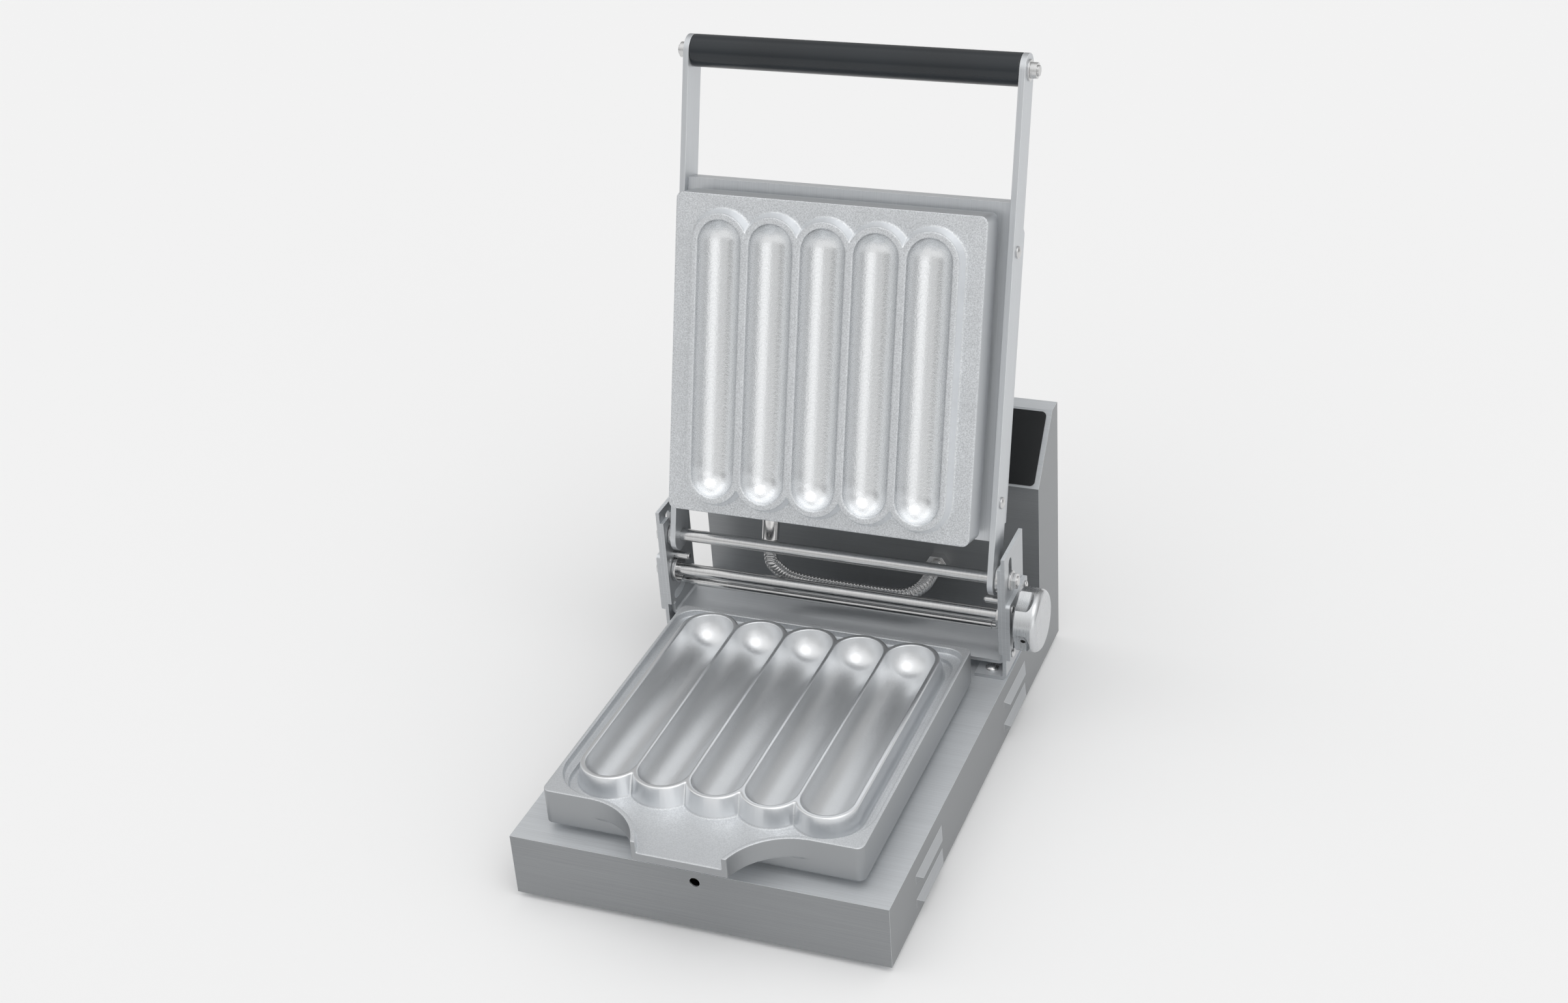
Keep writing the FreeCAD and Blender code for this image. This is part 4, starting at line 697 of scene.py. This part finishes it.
@dataclass
class Castings(SubAssembly):
    """The two cast plates, remade with the soft edges of a casting and polished cavities."""

    pitch: float = 41.7 * MM
    cavities: int = 5
    middle: float = -75.8 * MM
    span: float = 181.0 * MM
    lower_radius: float = 19.5 * MM
    upper_radius: float = 17.7 * MM
    upper_crest: float = 22.4 * MM
    lower_foot: float = 28.0 * MM
    upper_foot: float = 25.6 * MM
    rim_top: float = 98.0 * MM
    rim_rise: float = 15.4 * MM
    boss_reach: float = 55.8 * MM
    boss_rise: float = 9.0 * MM
    voxel: float = 0.65 * MM
    quick_factor: int = 2
    rounds: int = 3
    round_factor: float = 0.5
    keep: float = 0.4
    polish_spill: float = 0.8 * MM
    polish_fade: float = 0.6 * MM
    top_gap: float = 0.1 * MM
    top_fade: float = 0.8 * MM
    wall_fade: float = 0.5 * MM
    base_fade: float = 1.0 * MM
    side_tilt: float = 0.6
    side_fade: float = 0.3
    side_gap: float = 3.0 * MM

    def build(self) -> None:
        """Makes both castings and marks where they are polished, smooth or machined."""
        self.build_lower()
        self.build_upper()

    def build_lower(self) -> None:
        """Makes the lower casting, which lies flat as it is."""
        piece = self.cast("lower_plate", "lower_casting", LOWER_CAST)
        ridge = Ridge(middle=self.middle, top=self.rim_top, base=self.rim_top - self.rim_rise,
                      radius=self.lower_radius, crest=self.lower_radius, foot=self.lower_foot)
        self.mark(piece, self.read(piece, "co"), self.read(piece, "normal"), ridge)
        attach(piece, "base")

    def build_upper(self) -> None:
        """Makes the upper casting, which is stood upright about the hinge and laid flat to be marked."""
        piece = self.cast("upper_plate", "upper_casting", UPPER_CAST)
        hinge = next(joint for joint in self.frame["joints"] if joint["name"] == "lid_hinge")
        pivot = np.array(hinge["pos_m"])
        upright = np.array(Matrix.Rotation(LEAN, 3, "X")).T
        flat = np.array([[1.0, 0.0, 0.0], [0.0, 0.0, -1.0], [0.0, 1.0, 0.0]])
        points = (self.read(piece, "co") - pivot) @ upright @ flat
        normals = self.read(piece, "normal") @ upright @ flat
        ridge = Ridge(middle=pivot[1] - self.middle, top=self.boss_reach,
                      base=self.boss_reach - self.boss_rise, radius=self.upper_radius,
                      crest=self.upper_crest, foot=self.upper_foot)
        self.mark(piece, points, normals, ridge)
        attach(piece, "lid")

    def cast(self, node: str, name: str, finish: Finish) -> bpy.types.Object:
        """Makes a casting with rounded edges from a plain plate.

        Args:
            node: the CAD plate.
            name: the new piece's name.
            finish: what it is made of.

        Returns:
            The new object.
        """
        plain = bpy.data.objects.new(f"{name}_plain", self.frame["nodes"][node].data.copy())
        bpy.context.scene.collection.objects.link(plain)
        weld = plain.modifiers.new("weld", "WELD")
        weld.merge_threshold = WELD_GAP
        remesh = plain.modifiers.new("cast", "REMESH")
        remesh.mode = "VOXEL"
        remesh.voxel_size = self.voxel * 1
        smooth = plain.modifiers.new("round", "SMOOTH")
        smooth.factor = self.round_factor
        smooth.iterations = self.rounds
        thin = plain.modifiers.new("thin", "DECIMATE")
        thin.ratio = self.keep
        graph = bpy.context.evaluated_depsgraph_get()
        mesh = bpy.data.meshes.new_from_object(plain.evaluated_get(graph))
        bpy.data.objects.remove(plain)
        return self.add_piece(name, mesh, finish, node, "cast_aluminium")

    @staticmethod
    def read(piece: bpy.types.Object, value: str) -> np.ndarray:
        """Reads a value of a piece's corners, such as their places.

        Args:
            piece: the piece.
            value: the value's name.

        Returns:
            The values, one row for each corner.
        """
        flat = np.empty(3 * len(piece.data.vertices))
        piece.data.vertices.foreach_get(value, flat)
        return flat.reshape(-1, 3)

    def mark(self, piece: bpy.types.Object, points: np.ndarray, normals: np.ndarray, ridge: Ridge) -> None:
        """Marks how polished, smooth or machined each corner of a casting is.

        Args:
            piece: the casting.
            points: its corners as across, along and out of the plate.
            normals: the way that its surface faces there, in the same axes.
            ridge: the form round its cavities.
        """
        across, along, out = points.T
        along = along - ridge.middle
        reach = (self.cavities // 2) * self.pitch
        nearest = np.clip(np.round(across / self.pitch) * self.pitch, -reach, reach)
        past = np.clip(np.abs(along) - self.span / 2, 0, None)
        away = np.hypot(across - nearest, past)
        inside = ramp(ridge.radius + self.polish_spill - away, self.polish_fade)
        below = ramp(ridge.top - self.top_gap - out, self.top_fade)
        wall = ramp(away - ridge.crest, self.wall_fade) * ramp(ridge.foot - away, self.wall_fade)
        wall = wall * ramp(out - ridge.base, self.base_fade)
        outward = normals[:, 0] * across + normals[:, 1] * along > 0
        side = ramp(self.side_tilt - np.abs(normals[:, 2]), self.side_fade)
        side = side * outward * (away > ridge.foot + self.side_gap)
        for name, values in zip(CAST_MARKS, (inside * below, wall, side)):
            layer = piece.data.attributes.new(name, "FLOAT", "POINT")
            layer.data.foreach_set("value", values.astype(np.float32))


@dataclass
class Hose(SubAssembly):
    """The ribbed metal hose between the lid and the tower, in two stretches."""

    lid_route: tuple[Point, ...] = (
        (-0.0625, 0.1031, 0.1325),
        (-0.0625, 0.0982, 0.1156),
        (-0.0585, 0.1035, 0.1045),
        (-0.0515, 0.108, 0.096),
        (-0.036, 0.111, 0.0915),
        (-0.006, 0.113, 0.0893),
    )
    tower_route: tuple[Point, ...] = (
        (0.022, 0.1136, 0.0886),
        (0.044, 0.1125, 0.0896),
        (0.0534, 0.1178, 0.0914),
        (0.0588, 0.1267, 0.0928),
        (0.0597, 0.1375, 0.0934),
        (0.0597, 0.1565, 0.0934),
    )
    radius: float = 5.75 * MM
    groove: float = 4.45 * MM
    rib: float = 3.0 * MM
    rib_roundness: float = 0.7
    rings: int = 8
    sides: int = 28
    line_steps: int = 40
    line_order: int = 3
    nearly_along: float = 0.9

    def build(self) -> None:
        """Makes both stretches and dresses their fittings."""
        line = self.spline(self.lid_route + self.tower_route)
        middle = (Vector(self.lid_route[-1]) + Vector(self.tower_route[0])) / 2
        split = int(np.argmin(np.linalg.norm(line - np.array(middle), axis=1)))
        upper = self.stretch("hose_lid_stretch", line[:split + 1], "conduit_upper")
        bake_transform(upper)
        lower = self.stretch("hose_tower_stretch", line[split:], "conduit_lower")
        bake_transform(lower)
        self.dress("conduit_gland conduit_ferrule", FITTING, CRISP)

    def spline(self, route: Sequence[Point]) -> np.ndarray:
        """Points along the smooth line of a route.

        Args:
            route: the line's control points in metres.

        Returns:
            The points, one row each.
        """
        curve = bpy.data.curves.new("hose_line", "CURVE")
        curve.dimensions = "3D"
        curve.resolution_u = self.line_steps
        spline = curve.splines.new("NURBS")
        spline.points.add(len(route) - 1)
        for point, place in zip(spline.points, route):
            point.co = (*place, 1.0)
        spline.order_u = self.line_order
        spline.use_endpoint_u = True
        holder = bpy.data.objects.new("hose_line", curve)
        bpy.context.scene.collection.objects.link(holder)
        mesh = bpy.data.meshes.new_from_object(holder)
        points = np.array([tuple(vertex.co) for vertex in mesh.vertices])
        bpy.data.objects.remove(holder)
        bpy.data.curves.remove(curve)
        bpy.data.meshes.remove(mesh)
        return points

    def stretch(self, name: str, line: np.ndarray, node: str) -> bpy.types.Object:
        """Args:
            name: the piece's name.
            line: the points that it follows.
            node: the CAD piece that it replaces.

        Returns:
            The declared hose.
        """
        steps = np.linalg.norm(np.diff(line, axis=0), axis=1)
        marks = np.concatenate([[0.0], np.cumsum(steps)])
        length = float(marks[-1])
        count = max(2, round(length / self.rib * self.rings))
        places = np.linspace(0.0, length, count + 1)
        centres = np.stack([np.interp(places, marks, line[:, axis]) for axis in range(3)], axis=1)
        mesh = bpy.data.meshes.new(name)
        mesh.from_pydata(self.ribs(places, centres), [], self.skin(count))
        mesh.validate()
        piece = self.add_piece(name, mesh, HOSE, node, "conduit_steel")
        return piece

    def ribs(self, places: np.ndarray, centres: np.ndarray) -> list[Point]:
        """The corners of the ribbed tube, ring by ring.

        Args:
            places: how far along the hose each ring is.
            centres: the middle of each ring.

        Returns:
            The corners.
        """
        ways = np.gradient(centres, axis=0)
        ways /= np.linalg.norm(ways, axis=1)[:, None]
        off_line = (1.0, 0.0, 0.0) if abs(ways[0][0]) < self.nearly_along else (0.0, 0.0, 1.0)
        side = np.cross(ways[0], off_line)
        angles = np.linspace(0, 2 * math.pi, self.sides, endpoint=False)
        points = []
        for place, centre, way in zip(places, centres, ways):
            side = side - way * side.dot(way)
            side /= np.linalg.norm(side)
            other = np.cross(way, side)
            swell = abs(math.sin(math.pi * place / self.rib)) ** self.rib_roundness
            reach = self.groove + (self.radius - self.groove) * swell
            ring = (centre + reach * (math.cos(a) * side + math.sin(a) * other) for a in angles)
            points.extend(tuple(point) for point in ring)
        return points

    def skin(self, count: int) -> list[tuple[int, ...]]:
        """The faces of the tube.

        Args:
            count: how many steps there are from its first ring to its last.

        Returns:
            The faces between the rings and those of both ends.
        """
        faces: list[tuple[int, ...]] = []
        for ring in range(count):
            start = ring * self.sides
            for turn in range(self.sides):
                here, following = start + turn, start + (turn + 1) % self.sides
                faces.append((here, following, following + self.sides, here + self.sides))
        last = count * self.sides
        faces.append(tuple(range(self.sides))[::-1])
        faces.append(tuple(range(last, last + self.sides)))
        return faces


class Joining(Enum):
    """How a glow joins the light that is there."""

    BRIGHTENS = "ADD"
    DIMS = "MULTIPLY"


@dataclass(frozen=True)
class Glow:
    """Light or shade from one direction: how near to it that begins and is full, and its levels there."""

    joining: Joining
    direction: Point
    nearness: Span
    levels: Span

    def level(self, bench: Bench, way: Socket) -> Socket:
        """Its level along a way.

        Args:
            bench: where the nodes go.
            way: the socket of the way.

        Returns:
            The value socket.
        """
        unit = tuple(Vector(self.direction).normalized())
        near = bench.add("ShaderNodeVectorMath", {0: way, 1: unit}, operation="DOT_PRODUCT")
        return bench.remap(near.outputs["Value"], self.nearness, self.levels)


@dataclass
class Studio:
    """Floor, light and camera."""

    azimuth: float = math.radians(23.078)
    elevation: float = math.radians(29.44)
    roll: float = math.radians(-4.265)
    eye: Point = (0.5649, -1.3361, 1.0520)
    lens: float = 51.55
    sensor: float = 36.0
    farthest: float = 250.0
    floor_half: float = 60.0
    floor_shade: float = 0.92
    lamp_from: Point = (0.36, -0.3, 0.88)
    lamp_energy: float = 0.4
    lamp_width: float = math.radians(45)
    sky: Glow = Glow(Joining.BRIGHTENS, (0.0, 0.0, 1.0), (0.0, 0.9), (0.74, 1.35))
    glows: tuple[Glow, ...] = (
        # A broad strip in front on the right.
        Glow(Joining.BRIGHTENS, (0.68, -0.73, 0.05), (0.84, 0.97), (0.0, 0.7)),
        # Shade high up behind on the left.
        Glow(Joining.DIMS, (-0.45, 0.8, 0.4), (0.6, 0.95), (1.0, 0.5)),
        # Shade in front on the left.
        Glow(Joining.DIMS, (-0.84, -0.54, 0.05), (0.8, 0.97), (1.0, 0.5)),
        # Shade behind on the right, with a narrow strip in it.
        Glow(Joining.DIMS, (0.6, 0.8, 0.0), (0.5, 0.95), (1.0, 0.45)),
        Glow(Joining.BRIGHTENS, (0.6, 0.8, 0.06), (0.9, 0.985), (0.0, 0.5)),
    )

    def build(self) -> None:
        """Sets the stage round the object."""
        bpy.context.scene.view_settings.view_transform = "Standard"
        self.camera()
        self.floor()
        self.surroundings()
        self.key_light()

    def camera(self) -> None:
        """Puts the camera at the photograph's place."""
        az, el = self.azimuth, self.elevation
        back = Vector((math.sin(az) * math.cos(el), -math.cos(az) * math.cos(el), math.sin(el)))
        level = (-back).cross(Vector((0, 0, 1))).normalized()
        upward = level.cross(-back)
        right = level * math.cos(self.roll) + upward * math.sin(self.roll)
        top = upward * math.cos(self.roll) - level * math.sin(self.roll)
        data = bpy.data.cameras.new("studio_camera")
        data.sensor_fit = "HORIZONTAL"
        data.sensor_width = self.sensor
        data.lens = self.lens
        data.clip_end = self.farthest
        camera = bpy.data.objects.new("studio_camera", data)
        bpy.context.scene.collection.objects.link(camera)
        turn = Matrix((right, top, back)).transposed().to_4x4()
        camera.matrix_world = Matrix.Translation(self.eye) @ turn
        bpy.context.scene.camera = camera

    def floor(self) -> None:
        """Lays a plain pale floor."""
        half = self.floor_half
        corners = [(-half, -half, 0), (half, -half, 0), (half, half, 0), (-half, half, 0)]
        mesh = bpy.data.meshes.new("floor")
        mesh.from_pydata(corners, [], [(0, 1, 2, 3)])
        material = bpy.data.materials.new("floor_paper")
        material.use_nodes = True
        shade = (*grey(self.floor_shade), 1.0)
        Bench(material.node_tree).surface({"Base Color": shade, "Roughness": 1.0, "Specular IOR Level": 0.0})
        mesh.materials.append(material)
        floor = bpy.data.objects.new("floor", mesh)
        bpy.context.scene.collection.objects.link(floor)

    def surroundings(self) -> None:
        """Makes a soft studio, bright above, with the strips and the shades of the glows."""
        world = bpy.data.worlds.new("studio")
        bpy.context.scene.world = world
        world.use_nodes = True
        bench = Bench(world.node_tree)
        way = bench.add("ShaderNodeTexCoord").outputs["Generated"]
        level = self.sky.level(bench, way)
        for glow in self.glows:
            level = bench.math(glow.joining.value, level, glow.level(bench, way))
        light = bench.add("ShaderNodeBackground", {"Strength": level})
        bench.add("ShaderNodeOutputWorld", {"Surface": light.outputs[0]})

    def key_light(self) -> None:
        """Hangs a broad soft lamp above, in front and to the right."""
        data = bpy.data.lights.new("key_lamp", "SUN")
        data.energy = self.lamp_energy
        data.angle = self.lamp_width
        lamp = bpy.data.objects.new("key_lamp", data)
        lamp.rotation_euler = Vector(self.lamp_from).to_track_quat("Z", "Y").to_euler()
        bpy.context.scene.collection.objects.link(lamp)


def main() -> None:
    """Builds the scene."""
    logging.basicConfig(level=logging.INFO, format="%(name)s: %(message)s")
    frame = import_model()
    Studio().build()
    Hose(frame).build()
    Casing(frame).build()
    HingeStand(frame).build()
    ControlPanel(frame).build()
    Lid(frame).build()
    Castings(frame).build()


if __name__ == "__main__":
    main()
